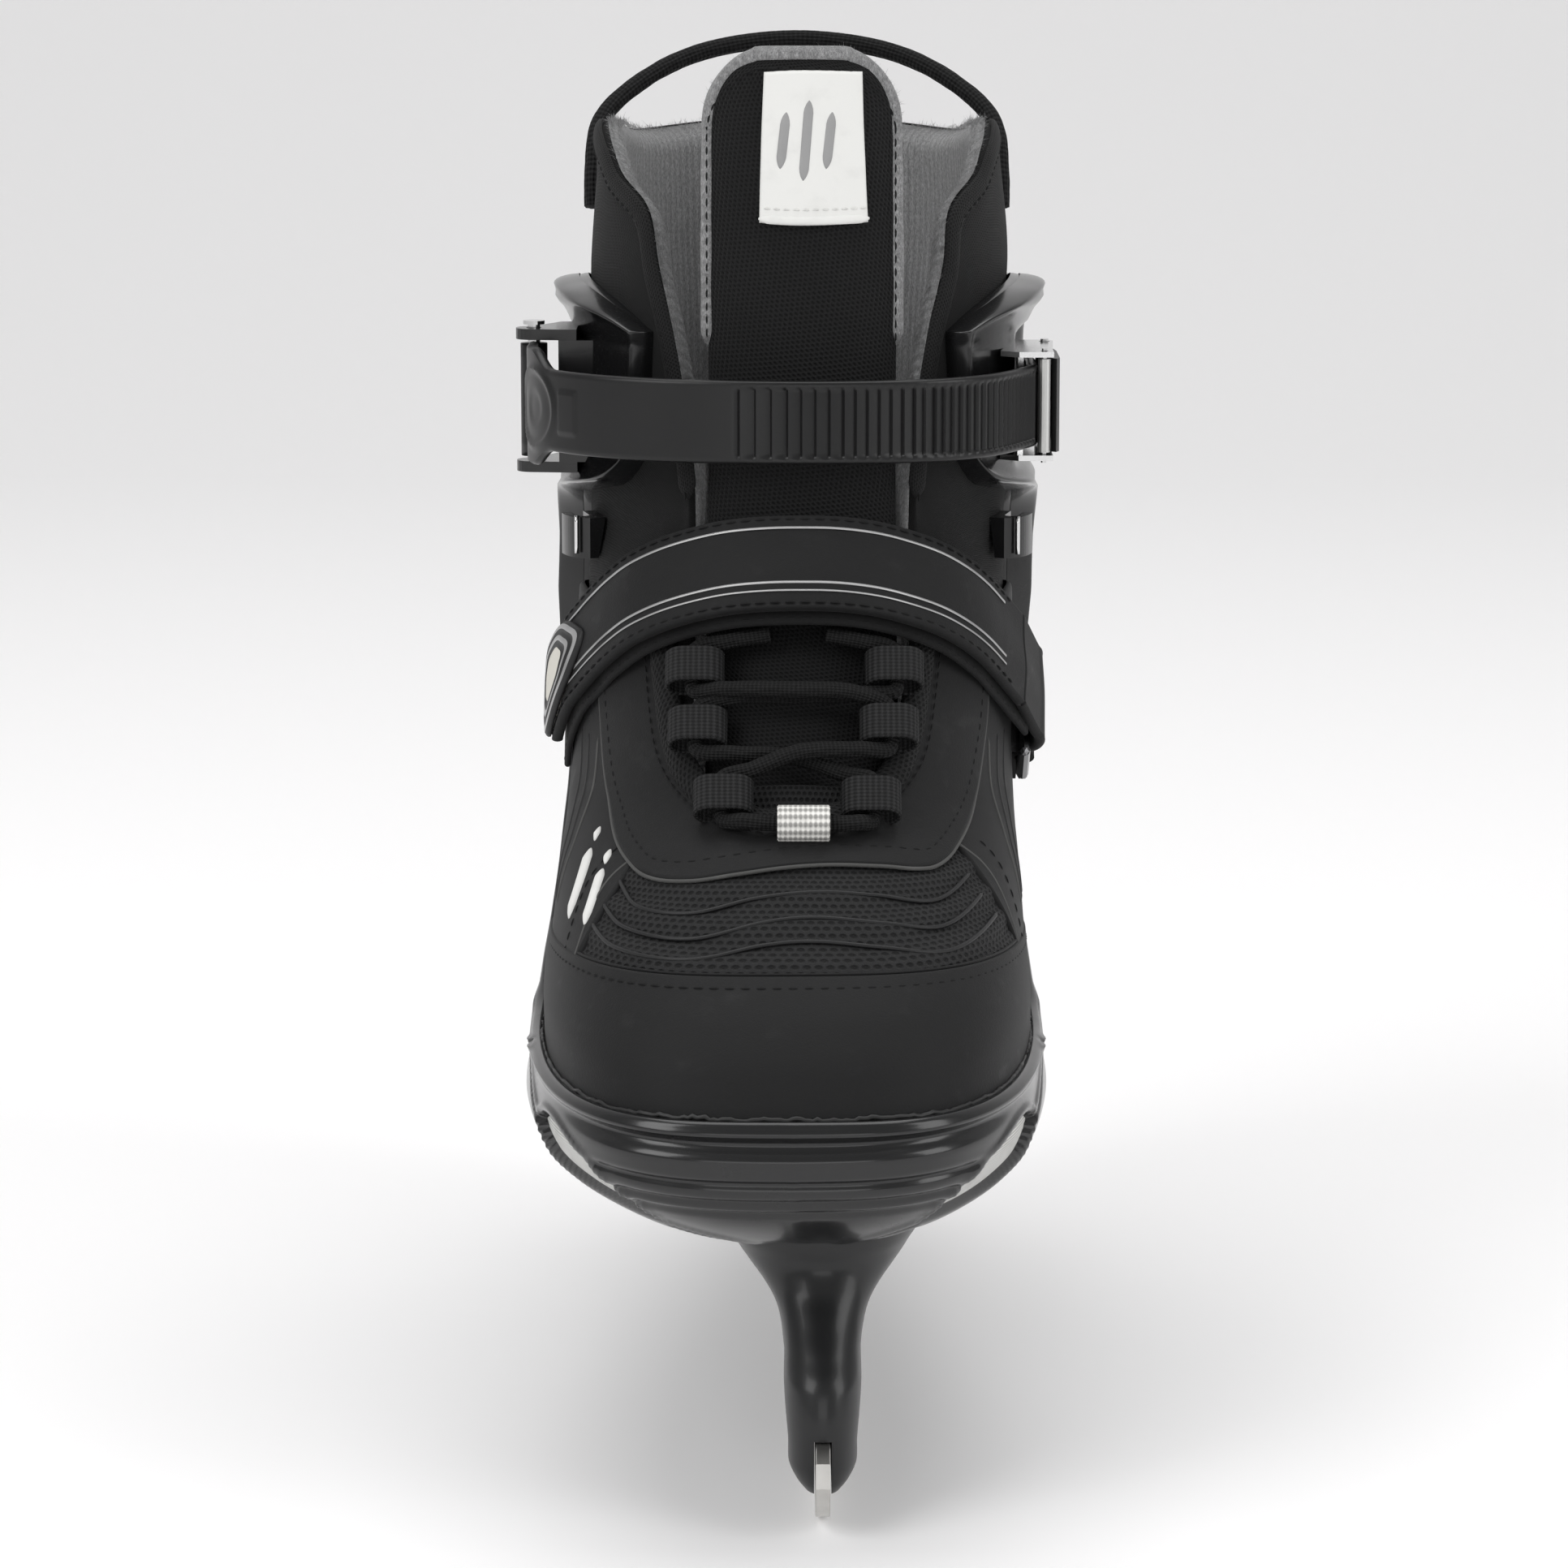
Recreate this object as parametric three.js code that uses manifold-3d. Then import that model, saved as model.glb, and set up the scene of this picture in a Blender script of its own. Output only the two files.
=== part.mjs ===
// One hybrid ice skate for the right foot: a sewn soft boot in a moulded plastic shell with a
// hinged ankle cuff, a ratchet strap, an instep strap, laces and a steel blade in a plastic holder.
// Millimetres. +X is the inner side of the foot, the toe points along -Y, +Z is up.
// The origin is the middle of the blade's running face.
import * as THREE from "three";
import { mergeVertices } from "three/addons/utils/BufferGeometryUtils.js";
import Module from "manifold-3d";

const wasm = await Module();
wasm.setup();

// ---- Fits ----
const GAP = 0.3;
const RUNNING_GAP = 0.5;

// ---- Blade and holder ----
const BLADE_LENGTH = 270;
const BLADE_THICKNESS = 3;
const BLADE_HEIGHT = 20;
const BLADE_SEAT_Z = 8;
const BLADE_FLAT_LENGTH = 220;
const BLADE_TIP_RADIUS = 24;
const HOLDER_TOP_Z = 59.7;
const HOLDER_RAIL_LENGTH = 262;
const HOLDER_WINDOW_HALF = 46;
const HOLDER_WINDOW_LOW_Z = 30;
const BOLT_SPACING = 170;
const BOLT_OFFSET_Y = 2;
const BOLT_RADIUS = 3;
const BOLT_HEAD_RADIUS = 6;
const BOLT_HEAD_HEIGHT = 2;
const BOLT_LENGTH = 34;
const BLADE_PIN_RADIUS = 2;
const BLADE_PIN_SPACING = 200;

// ---- Shell ----
const SHELL_SOLE_Z = HOLDER_TOP_Z + GAP;
const SHELL_SOLE_THICKNESS = 13.7;
const SHELL_WALL = 3.2;
const SHELL_RIM_Z = 93;
const VENT_LENGTH = 34;
const VENT_HEIGHT = 9;
const VENT_Y = -104;
const VENT_Z = 80;
const VENT_MESH_THICKNESS = 0.8;
const VENT_MESH_SCALE = 0.88;

// ---- Boot ----
const BOOT_SOLE_Z = 77;
const RING_STEPS = 28;
const HEEL_POWER = 2.4;
const SKIN = 2.2;
const PADDING = 4.5;
const THROAT_HALF = 24;
const THROAT_X = -4;
const THROAT_LOW_Z = 137;
const TONGUE_THICKNESS = 7;
const TONGUE_INSET = 1.5;
const TONGUE_TOP_Z = 299;
const LABEL_WIDTH = 26;
const LABEL_HEIGHT = 33;
const LABEL_THICKNESS = 0.9;
const INSOLE_THICKNESS = 4;
const RAND_SEAM_Z = 114;

// ---- Ankle hinge ----
const HINGE_Y = 65;
const HINGE_Z = 154;
const HINGE_PIN_RADIUS = 3;
const HINGE_CAP_RADIUS = 8;
const HINGE_CAP_HEIGHT = 1.8;
const CUFF_WALL = 3;
const FLEX_FRONT_LOW_DEG = 12;
const FLEX_FRONT_HIGH_DEG = 17.5;
const FLEX_REAR_LOW_DEG = 6;
const FLEX_REAR_HIGH_DEG = 11;

// ---- Ankle strap and ratchet ----
const STRAP_PIN_X = -63.5;
const STRAP_PIN_Y = 0;
const STRAP_PIN_RADIUS = 1.4;
const STRAP_LOW_Z = 212;
const STRAP_HEIGHT = 18;
const STRAP_THICKNESS = 2.4;
const STRAP_END_EXTRA = 4;
const STRAP_TOOTH_DEPTH = 0.8;
const STRAP_TEETH = 26;
const BRACKET_PLATE = 2.4;
const BUCKLE_X = 43.6;
const BUCKLE_PLATE = 1.2;
const BUCKLE_LOW_Z = STRAP_LOW_Z - 3;
const BUCKLE_HEIGHT = STRAP_HEIGHT + 6;
const BUCKLE_HIGH_Z = BUCKLE_LOW_Z + BUCKLE_HEIGHT;
const LEVER_PIN_X = 50.2;
const LEVER_PIN_Y = 8;
const LEVER_PIN_RADIUS = 0.9;
const LEVER_THICKNESS = 1.8;
const LEVER_LENGTH = 20;
const PAWL_PIN_X = 49.2;
const PAWL_PIN_Y = -13;
const PAWL_PIN_RADIUS = 0.6;
const PAWL_LENGTH = 11;

// ---- Instep strap: its arch is drawn in a plane square to the band's width ----
const INSTEP_SLOPE_DEG = 51.7;
const INSTEP_BAND_MID = 117;
const INSTEP_BAND_WIDTH = 24;
const UNDER_BAND_THICKNESS = 1.6;
const FLAP_THICKNESS = 2.6;
const RING_WIRE_RADIUS = 1.4;
const RING_BAR_X = 45.4;
const RING_BAR_N = 101;
const RING_DROP = 11;
const RING_TAB_LENGTH = 10;

// ---- Laces ----
const LACE_RADIUS = 1.8;
const LACE_SIDES = 8;
const WEBBING_THICKNESS = 0.9;
const LOOP_LENGTH = 8;
const LOOP_RISE = 5.4;
const LOOP_CLEARANCE = 1.3;
const LOOP_FLAT = 2.4;

// ---- Pull loop ----
const PULL_CORD_RADIUS = 2.2;

const PLASTIC = { color: 0x0b0b0c, roughness: 0.3, metalness: 0 };
const SATIN = { color: 0x101011, roughness: 0.5, metalness: 0 };
const SYNTHETIC = { color: 0x121213, roughness: 0.75, metalness: 0 };
const MESH_CLOTH = { color: 0x0d0d0e, roughness: 0.9, metalness: 0 };
const FLEECE = { color: 0xb9bcba, roughness: 0.95, metalness: 0 };
const CORD = { color: 0x0e0e0f, roughness: 0.85, metalness: 0 };
const WHITE = { color: 0xe4e4df, roughness: 0.7, metalness: 0 };
const STEEL = { color: 0xa8a39a, roughness: 0.3, metalness: 1 };
const CHROME = { color: 0xd0d2d2, roughness: 0.12, metalness: 1 };

const skate = new THREE.Group();

// ---------------------------------------------------------------- solids and booleans

// A closed geometry as a solid whose shared corners are merged.
function solid(geometry) {
  const bare = geometry.clone();
  bare.deleteAttribute("normal");
  bare.deleteAttribute("uv");
  const merged = mergeVertices(bare, 1e-4);
  return new wasm.Manifold(
    new wasm.Mesh({
      numProp: 3,
      vertProperties: new Float32Array(merged.attributes.position.array),
      triVerts: new Uint32Array(merged.index.array),
    }),
  );
}

// A solid back as a geometry.
function geometryOf(body) {
  const mesh = body.getMesh();
  const geometry = new THREE.BufferGeometry();
  geometry.setAttribute("position", new THREE.BufferAttribute(mesh.vertProperties, 3));
  geometry.setIndex(new THREE.BufferAttribute(mesh.triVerts, 1));
  return geometry;
}

// The largest of a solid's separate bodies, so a cut leaves no slivers behind.
function mainBody(body) {
  const parts = body.decompose();
  return parts.reduce((best, part) => (part.volume() > best.volume() ? part : best));
}

// Names a piece and puts it on the skate.
function place(name, body, finish) {
  const material = new THREE.MeshStandardMaterial(finish);
  const mesh = new THREE.Mesh(geometryOf(mainBody(body)), material);
  mesh.name = name;
  skate.add(mesh);
}

function joined(...bodies) {
  return bodies.reduce((sum, body) => sum.add(body));
}

function box(x0, x1, y0, y1, z0, z1) {
  const geometry = new THREE.BoxGeometry(x1 - x0, y1 - y0, z1 - z0);
  geometry.translate((x0 + x1) / 2, (y0 + y1) / 2, (z0 + z1) / 2);
  return solid(geometry);
}

// A cylinder between two points.
function rod(from, to, radius, sides = 20) {
  const axis = new THREE.Vector3().subVectors(to, from);
  const geometry = new THREE.CylinderGeometry(radius, radius, axis.length(), sides);
  const turn = new THREE.Quaternion().setFromUnitVectors(
    new THREE.Vector3(0, 1, 0),
    axis.clone().normalize(),
  );
  geometry.applyQuaternion(turn);
  const middle = new THREE.Vector3().addVectors(from, to).multiplyScalar(0.5);
  geometry.translate(middle.x, middle.y, middle.z);
  return solid(geometry);
}

function vec(x, y, z) {
  return new THREE.Vector3(x, y, z);
}

// An outline given in the plane of two axes, extruded along the third between two heights.
function prism(outline, along, low, high) {
  const shape =
    outline instanceof THREE.Shape
      ? outline
      : new THREE.Shape(outline.map(([a, b]) => new THREE.Vector2(a, b)));
  const geometry = new THREE.ExtrudeGeometry(shape, {
    depth: high - low,
    bevelEnabled: false,
    curveSegments: 6,
  });
  geometry.translate(0, 0, low);
  const basis = new THREE.Matrix4();
  if (along === "x") basis.makeBasis(vec(0, 1, 0), vec(0, 0, 1), vec(1, 0, 0));
  if (along === "y") basis.makeBasis(vec(1, 0, 0), vec(0, 0, 1), vec(0, 1, 0));
  geometry.applyMatrix4(basis);
  if (along === "y") flipFaces(geometry);
  return solid(geometry);
}

// Turns every face over, which a mirrored placement needs.
function flipFaces(geometry) {
  const index = geometry.index
    ? geometry.index.array
    : Uint32Array.from({ length: geometry.attributes.position.count }, (_, i) => i);
  const turned = Uint32Array.from(index);
  for (let i = 0; i < turned.length; i += 3) {
    const kept = turned[i + 1];
    turned[i + 1] = turned[i + 2];
    turned[i + 2] = kept;
  }
  geometry.setIndex(new THREE.BufferAttribute(turned, 1));
}

// A skin through a stack of rings, each a closed list of points, with flat ends.
function loft(rings) {
  const count = rings[0].length;
  const points = rings.flat();
  const faces = [];
  for (let row = 0; row < rings.length - 1; row += 1) {
    for (let i = 0; i < count; i += 1) {
      const next = (i + 1) % count;
      const a = row * count + i;
      const b = row * count + next;
      faces.push(a, b, b + count);
      faces.push(a, b + count, a + count);
    }
  }
  const lowCentre = centreOf(rings[0]);
  const highCentre = centreOf(rings[rings.length - 1]);
  points.push(lowCentre, highCentre);
  const low = points.length - 2;
  const high = points.length - 1;
  const top = (rings.length - 1) * count;
  for (let i = 0; i < count; i += 1) {
    const next = (i + 1) % count;
    faces.push(low, next, i);
    faces.push(high, top + i, top + next);
  }
  const geometry = new THREE.BufferGeometry().setFromPoints(points);
  geometry.setIndex(faces);
  return solid(geometry);
}

function centreOf(ring) {
  const sum = ring.reduce((total, point) => total.add(point), vec(0, 0, 0));
  return sum.multiplyScalar(1 / ring.length);
}

// A round tube along a curve.
function tube(points, radius, steps, sides) {
  const section = new THREE.Shape();
  for (let i = 0; i < sides; i += 1) {
    const angle = (i / sides) * Math.PI * 2;
    const x = radius * Math.cos(angle);
    const y = radius * Math.sin(angle);
    if (i === 0) section.moveTo(x, y);
    else section.lineTo(x, y);
  }
  const path = new THREE.CatmullRomCurve3(points, false, "centripetal");
  const geometry = new THREE.ExtrudeGeometry(section, { steps, extrudePath: path });
  return solid(geometry);
}

// ---------------------------------------------------------------- the boot's form

// Stations up the boot: height, toe end, heel end, half width at the ball, half width at the
// heel, centre line and squareness of the toe's outline.
const BOOT_STATIONS = [
  [77, -138.5, 127, 45, 33, -7.3, 3.2],
  [84, -145, 134, 50, 36.5, -7.5, 3.4],
  [92, -146.5, 136, 51.5, 38, -7.5, 3.4],
  [100, -144, 136, 51.5, 38.5, -7.5, 3.4],
  [109, -137, 134.5, 51, 39, -7.3, 3.3],
  [116, -128, 133, 50.5, 39.5, -7, 3.2],
  [125, -112, 130.5, 50, 40, -6.8, 3],
  [133, -97, 128, 49.5, 41, -6.5, 2.7],
  [142, -82, 125, 49.5, 42.5, -6.2, 2.4],
  [158, -69, 120, 49.5, 44, -5.8, 2.3],
  [175, -55.5, 115, 49, 44.5, -5.4, 2.25],
  [195, -45.5, 110, 48, 44.5, -5, 2.2],
  [215, -40, 107, 47, 44.5, -4.6, 2.2],
  [235, -36.5, 105, 47.5, 45, -4.5, 2.2],
  [250, -34, 104, 48.5, 46, -4.5, 2.2],
  [272, -31, 103, 46.5, 45, -5, 2.2],
  [286, -29, 103, 43.5, 43, -5.2, 2.2],
  [302, -26.5, 103, 41, 41, -5.2, 2.2],
];

const SHELL_STATIONS = [
  [SHELL_SOLE_Z, -117, 116, 27, 22, -4, 2.4],
  [62.5, -128, 126, 38, 30, -5, 2.6],
  [66.5, -137, 134, 46.5, 35.5, -6, 2.8],
  [71.5, -144.5, 140, 52.5, 39.5, -6.8, 3],
  [77, -149.5, 144, 56, 42, -7.3, 3.2],
  [82, -151, 145, 57, 42.6, -7.5, 3.3],
  [88, -150.5, 144.5, 56, 42.4, -7.5, 3.4],
];

// The station at any height, straight between its neighbours.
function stationAt(stations, z) {
  const above = stations.findIndex((row) => row[0] >= z);
  if (above <= 0) return above < 0 ? stations[stations.length - 1] : stations[0];
  const low = stations[above - 1];
  const high = stations[above];
  const share = (z - low[0]) / (high[0] - low[0]);
  return low.map((value, i) => value + (high[i] - value) * share);
}

// The boot's half width at a place along it and a height.
function bootHalf(y, z) {
  const [, toe, heel, ball, heelHalf, , toePower] = stationAt(BOOT_STATIONS, z);
  const along = (y - (toe + heel) / 2) / ((heel - toe) / 2);
  const power = along < 0 ? toePower : HEEL_POWER;
  const width = THREE.MathUtils.lerp(ball, heelHalf, THREE.MathUtils.smoothstep(along, -0.5, 0.75));
  return width * Math.max(0, 1 - Math.abs(along) ** power) ** (1 / power);
}

// One closed outline of the boot at a height, grown outwards by an offset.
function outline(station, z, grow) {
  const [, toe, heel, ball, heelHalf, centre, toePower] = station;
  const middle = (toe + heel) / 2;
  const half = (heel - toe) / 2 + grow;
  const ring = [];
  for (let i = 0; i < RING_STEPS; i += 1) {
    const angle = (i / RING_STEPS) * Math.PI * 2;
    const power = Math.cos(angle) > 0 ? toePower : HEEL_POWER;
    const along = -Math.sign(Math.cos(angle)) * Math.abs(Math.cos(angle)) ** (2 / power);
    const across = Math.sign(Math.sin(angle)) * Math.abs(Math.sin(angle)) ** (2 / power);
    const blend = THREE.MathUtils.smoothstep(along, -0.5, 0.75);
    const width = THREE.MathUtils.lerp(ball, heelHalf, blend) + grow;
    ring.push(vec(centre + width * across, middle + half * along, z));
  }
  return ring;
}

// The boot's form between two heights, grown by an offset.
function bootForm(low, high, grow) {
  const inner = BOOT_STATIONS.map((row) => row[0]).filter((z) => z > low + 1 && z < high - 1);
  const heights = [low, ...inner, high];
  return loft(heights.map((z) => outline(stationAt(BOOT_STATIONS, z), z, growAt(grow, z))));
}

// An offset is a number, or a list of heights and offsets.
function growAt(grow, z) {
  return typeof grow === "number" ? grow : stationAt(grow, z)[1];
}

const BOOT_TOP = 302;

// The space above the flex line, a wide V through the ankle hinge.
function aboveFlex(frontDeg, rearDeg, lift) {
  const reach = 260;
  const front = THREE.MathUtils.degToRad(frontDeg);
  const rear = THREE.MathUtils.degToRad(rearDeg);
  const z = HINGE_Z + lift;
  return prism(
    [
      [HINGE_Y, z],
      [HINGE_Y + reach * Math.cos(rear), z + reach * Math.sin(rear)],
      [HINGE_Y + reach, z + reach],
      [HINGE_Y - reach, z + reach],
      [HINGE_Y - reach * Math.cos(front), z + reach * Math.sin(front)],
    ],
    "x",
    -100,
    100,
  );
}

const aboveLow = aboveFlex(FLEX_FRONT_LOW_DEG, FLEX_REAR_LOW_DEG, -0.8);
const aboveHigh = aboveFlex(FLEX_FRONT_HIGH_DEG, FLEX_REAR_HIGH_DEG, 0.8);

// The throat that the tongue fills: a round-ended slot seen from the front.
function throat(extra) {
  const half = THROAT_HALF + extra;
  const low = THROAT_LOW_Z + 14;
  const shape = new THREE.Shape();
  shape.moveTo(THROAT_X - half, BOOT_TOP + 10);
  shape.lineTo(THROAT_X - half, low);
  shape.absellipse(THROAT_X, low, half, 14 + extra, Math.PI, Math.PI * 2, false);
  shape.lineTo(THROAT_X + half, BOOT_TOP + 10);
  shape.closePath();
  return prism(shape, "y", -170, 10);
}

// The collar line in side view: everything under it belongs to the shaft.
function underCollar() {
  const shape = new THREE.Shape();
  shape.moveTo(-200, 60);
  shape.lineTo(-200, 186);
  shape.lineTo(-46, 190);
  shape.lineTo(-31, 238);
  shape.quadraticCurveTo(-22, 268, -2, 277);
  shape.quadraticCurveTo(20, 286, 48, 280);
  shape.quadraticCurveTo(78, 274, 120, 278);
  shape.lineTo(200, 60);
  shape.closePath();
  return prism(shape, "x", -100, 100);
}

// ---------------------------------------------------------------- blade and holder

// The blade: a flat strip whose two ends sweep up from the running face.
function buildBlade() {
  const half = BLADE_LENGTH / 2;
  const flat = BLADE_FLAT_LENGTH / 2;
  const shape = new THREE.Shape();
  shape.moveTo(-flat, 0);
  shape.lineTo(flat, 0);
  shape.quadraticCurveTo(half - 4, 1, half, BLADE_SEAT_Z - 1);
  shape.lineTo(half, BLADE_HEIGHT - 4);
  shape.lineTo(half - 6, BLADE_HEIGHT);
  shape.lineTo(-half + 8, BLADE_HEIGHT);
  shape.lineTo(-half, BLADE_TIP_RADIUS - 6);
  shape.quadraticCurveTo(-half + 3, 1.5, -flat, 0);
  const blank = prism(shape, "x", -BLADE_THICKNESS / 2, BLADE_THICKNESS / 2);
  return blank.subtract(bladePins(GAP));
}

// The cross pins that hold the blade in its slot, grown by a clearance for their holes.
function bladePins(grow) {
  const half = holderHalfAt(BLADE_SEAT_Z + 6);
  return joined(...[-1, 1].map((side) => bladePin(side, grow, half + 1)));
}

function bladePin(side, grow, reach) {
  const y = (side * BLADE_PIN_SPACING) / 2;
  const z = BLADE_SEAT_Z + 6;
  return rod(vec(-reach, y, z), vec(reach, y, z), BLADE_PIN_RADIUS + grow, 16);
}

// Holder stations: height, half width, toe end, heel end.
const HOLDER_STATIONS = [
  [BLADE_SEAT_Z, 3.4, -126, 127],
  [14, 7.4, -129, 130],
  [22, 8.4, -129, 130],
  [30, 9.3, -127, 129],
  [36, 9.6, -122, 126],
  [46, 13.2, -115, 121],
  [52, 17.5, -112, 120],
  [56, 21, -113, 120],
  [HOLDER_TOP_Z, 21, -113, 120],
];

function holderHalfAt(z) {
  return stationAt(HOLDER_STATIONS, z)[1];
}

// One level of the holder: a long bar with tapered round ends.
function holderRing([z, half, toe, heel]) {
  const nose = half * 1.6;
  const ring = [];
  const steps = 6;
  for (let i = 0; i <= steps; i += 1) {
    const angle = (i / steps) * Math.PI;
    ring.push(vec(half * Math.cos(angle), heel - nose + nose * Math.sin(angle), z));
  }
  for (let i = 0; i <= steps; i += 1) {
    const angle = Math.PI + (i / steps) * Math.PI;
    ring.push(vec(half * Math.cos(angle), toe + nose + nose * Math.sin(angle), z));
  }
  return ring;
}

function buildHolder() {
  const body = loft(HOLDER_STATIONS.map(holderRing));
  const half = HOLDER_WINDOW_HALF;
  const window = new THREE.Shape();
  const low = HOLDER_WINDOW_LOW_Z;
  window.moveTo(-half + 12, low);
  window.lineTo(half - 12, low);
  window.quadraticCurveTo(half, low, half + 3, low + 10);
  window.lineTo(half - 4, HOLDER_TOP_Z - 8);
  window.quadraticCurveTo(half - 6, HOLDER_TOP_Z + 1, half - 8, HOLDER_TOP_Z + 1);
  window.lineTo(-half + 8, HOLDER_TOP_Z + 1);
  window.quadraticCurveTo(-half + 6, HOLDER_TOP_Z + 1, -half + 4, HOLDER_TOP_Z - 8);
  window.lineTo(-half - 3, low + 10);
  window.quadraticCurveTo(-half, low, -half + 12, low);
  const slotHalf = BLADE_THICKNESS / 2 + GAP;
  const slot = box(-slotHalf, slotHalf, -150, 150, 0, BLADE_HEIGHT + GAP);
  return body
    .subtract(prism(window, "x", -60, 60))
    .subtract(slot)
    .subtract(bladePins(GAP))
    .subtract(soleBolt(-1, GAP))
    .subtract(soleBolt(1, GAP));
}

// A sole bolt goes down through the shell into a pillar of the holder.
function soleBolt(side, grow) {
  const y = BOLT_OFFSET_Y + (side * BOLT_SPACING) / 2;
  const seat = SHELL_SOLE_Z + SHELL_SOLE_THICKNESS - BOLT_HEAD_HEIGHT;
  const headTop = seat + BOLT_HEAD_HEIGHT + grow;
  const head = rod(vec(0, y, seat + GAP - grow), vec(0, y, headTop), BOLT_HEAD_RADIUS + grow, 18);
  const shank = rod(vec(0, y, seat - BOLT_LENGTH - grow), vec(0, y, headTop), BOLT_RADIUS + grow, 16);
  return head.add(shank);
}

place("blade", buildBlade(), STEEL);
place("blade_holder", buildHolder(), PLASTIC);
place("blade_pin_front", bladePin(-1, 0, holderHalfAt(BLADE_SEAT_Z + 6) - GAP), STEEL);
place("blade_pin_rear", bladePin(1, 0, holderHalfAt(BLADE_SEAT_Z + 6) - GAP), STEEL);
place("sole_bolt_front", soleBolt(-1, 0), STEEL);
place("sole_bolt_rear", soleBolt(1, 0), STEEL);

// ---------------------------------------------------------------- shell

// How far the shell's outside stands off the boot, by height: thinner where the cuff laps it.
const SHELL_GROW = [
  [92, GAP + SHELL_WALL + 0.6],
  [135, GAP + SHELL_WALL + 0.6],
  [148, GAP + SHELL_WALL - 0.2],
  [200, GAP + SHELL_WALL - 0.2],
];

// The shell's form: its own rounded bottom, inset, then the boot's form grown by an offset.
function shellForm(inset, grow) {
  const low = SHELL_STATIONS.map((row) => outline(row, row[0], -inset));
  const heights = BOOT_STATIONS.map((row) => row[0]).filter((z) => z > 90 && z < 200);
  const high = heights.map((z) => outline(stationAt(BOOT_STATIONS, z), z, growAt(grow, z)));
  return loft([...low, ...high]);
}

// Side view of the shell: a low rim round the toe, rising to the ankle ears, level at the heel.
function underShellRim() {
  const shape = new THREE.Shape();
  const ear = HINGE_CAP_RADIUS + 11;
  shape.moveTo(-200, 40);
  shape.lineTo(-200, SHELL_RIM_Z);
  shape.lineTo(-62, SHELL_RIM_Z);
  shape.quadraticCurveTo(-30, SHELL_RIM_Z + 4, -8, 118);
  shape.quadraticCurveTo(20, 140, HINGE_Y - ear, HINGE_Z + 6);
  shape.absarc(HINGE_Y, HINGE_Z, ear, Math.PI * 0.9, Math.PI * 0.1, true);
  shape.quadraticCurveTo(105, 148, 160, 146);
  shape.lineTo(160, 40);
  shape.closePath();
  return prism(shape, "x", -100, 100);
}

// A leaf-shaped vent on each side of the toe, drilled square to the wall.
function vent(side, scale) {
  const half = (VENT_LENGTH / 2) * scale;
  const rise = (VENT_HEIGHT / 2) * scale;
  const shape = new THREE.Shape();
  shape.moveTo(-half, -rise * 0.6);
  shape.quadraticCurveTo(-half * 0.2, -rise * 1.5, half, rise * 0.5);
  shape.quadraticCurveTo(half * 0.1, rise * 1.8, -half, -rise * 0.6);
  const geometry = new THREE.ExtrudeGeometry(shape, { depth: 40, bevelEnabled: false });
  // The leaf's length runs towards the heel, its depth outwards.
  const turn = new THREE.Matrix4().makeBasis(
    vec(0.41, 0.912, 0),
    vec(0, 0, 1),
    vec(0.912, -0.41, 0),
  );
  geometry.applyMatrix4(turn);
  geometry.translate(28, VENT_Y + 8, VENT_Z);
  if (side < 0) {
    geometry.scale(-1, 1, 1);
    flipFaces(geometry);
  }
  const centre = stationAt(BOOT_STATIONS, VENT_Z)[5];
  geometry.translate(centre, 0, 0);
  return solid(geometry);
}

// The room inside the shell: flat above the sole plate, then a wall away from the outside.
function shellRoom() {
  const floor = SHELL_SOLE_Z + SHELL_SOLE_THICKNESS;
  return shellForm(SHELL_WALL, GAP + 0.2).subtract(box(-100, 100, -200, 200, 0, floor));
}

// A hinge rivet runs from the shell's inside through the cuff, under a wide flat cap.
function hingePin(side, grow) {
  const z = HINGE_Z;
  const centre = stationAt(BOOT_STATIONS, z)[5];
  const inner = centre + side * (bootHalf(HINGE_Y - HINGE_PIN_RADIUS, z) + GAP);
  const capHalf = bootHalf(HINGE_Y - HINGE_CAP_RADIUS, z) + growAt(CUFF_GROW, z);
  const outer = centre + side * (capHalf + GAP);
  const start = inner - side * grow;
  const pin = rod(vec(start, HINGE_Y, z), vec(outer, HINGE_Y, z), HINGE_PIN_RADIUS + grow, 16);
  const capEnd = vec(outer + side * HINGE_CAP_HEIGHT, HINGE_Y, z);
  return pin.add(rod(vec(outer - side * grow, HINGE_Y, z), capEnd, HINGE_CAP_RADIUS + grow, 20));
}

// ---------------------------------------------------------------- cuff

// How far the cuff's outside stands off the boot, by height: full round the hinge and the top
// rim, thinner in the channel where the ratchet strap runs.
const CUFF_GROW = [
  [120, 7.8],
  [172, 7.8],
  [186, 6.6],
  [201, 6.8],
  [207, 4],
  [237, 4],
  [243, 7],
  [252, 7.6],
  [266, 6.8],
];
const CUFF_INSIDE = CUFF_GROW.map(([z, grow]) => [z, grow - CUFF_WALL]);

function cuffForm(grow) {
  const heights = [...new Set([...CUFF_GROW, ...BOOT_STATIONS].map((row) => row[0]))]
    .filter((z) => z >= 125 && z <= 266)
    .sort((a, b) => a - b);
  return loft(heights.map((z) => outline(stationAt(BOOT_STATIONS, z), z, growAt(grow, z))));
}

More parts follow.
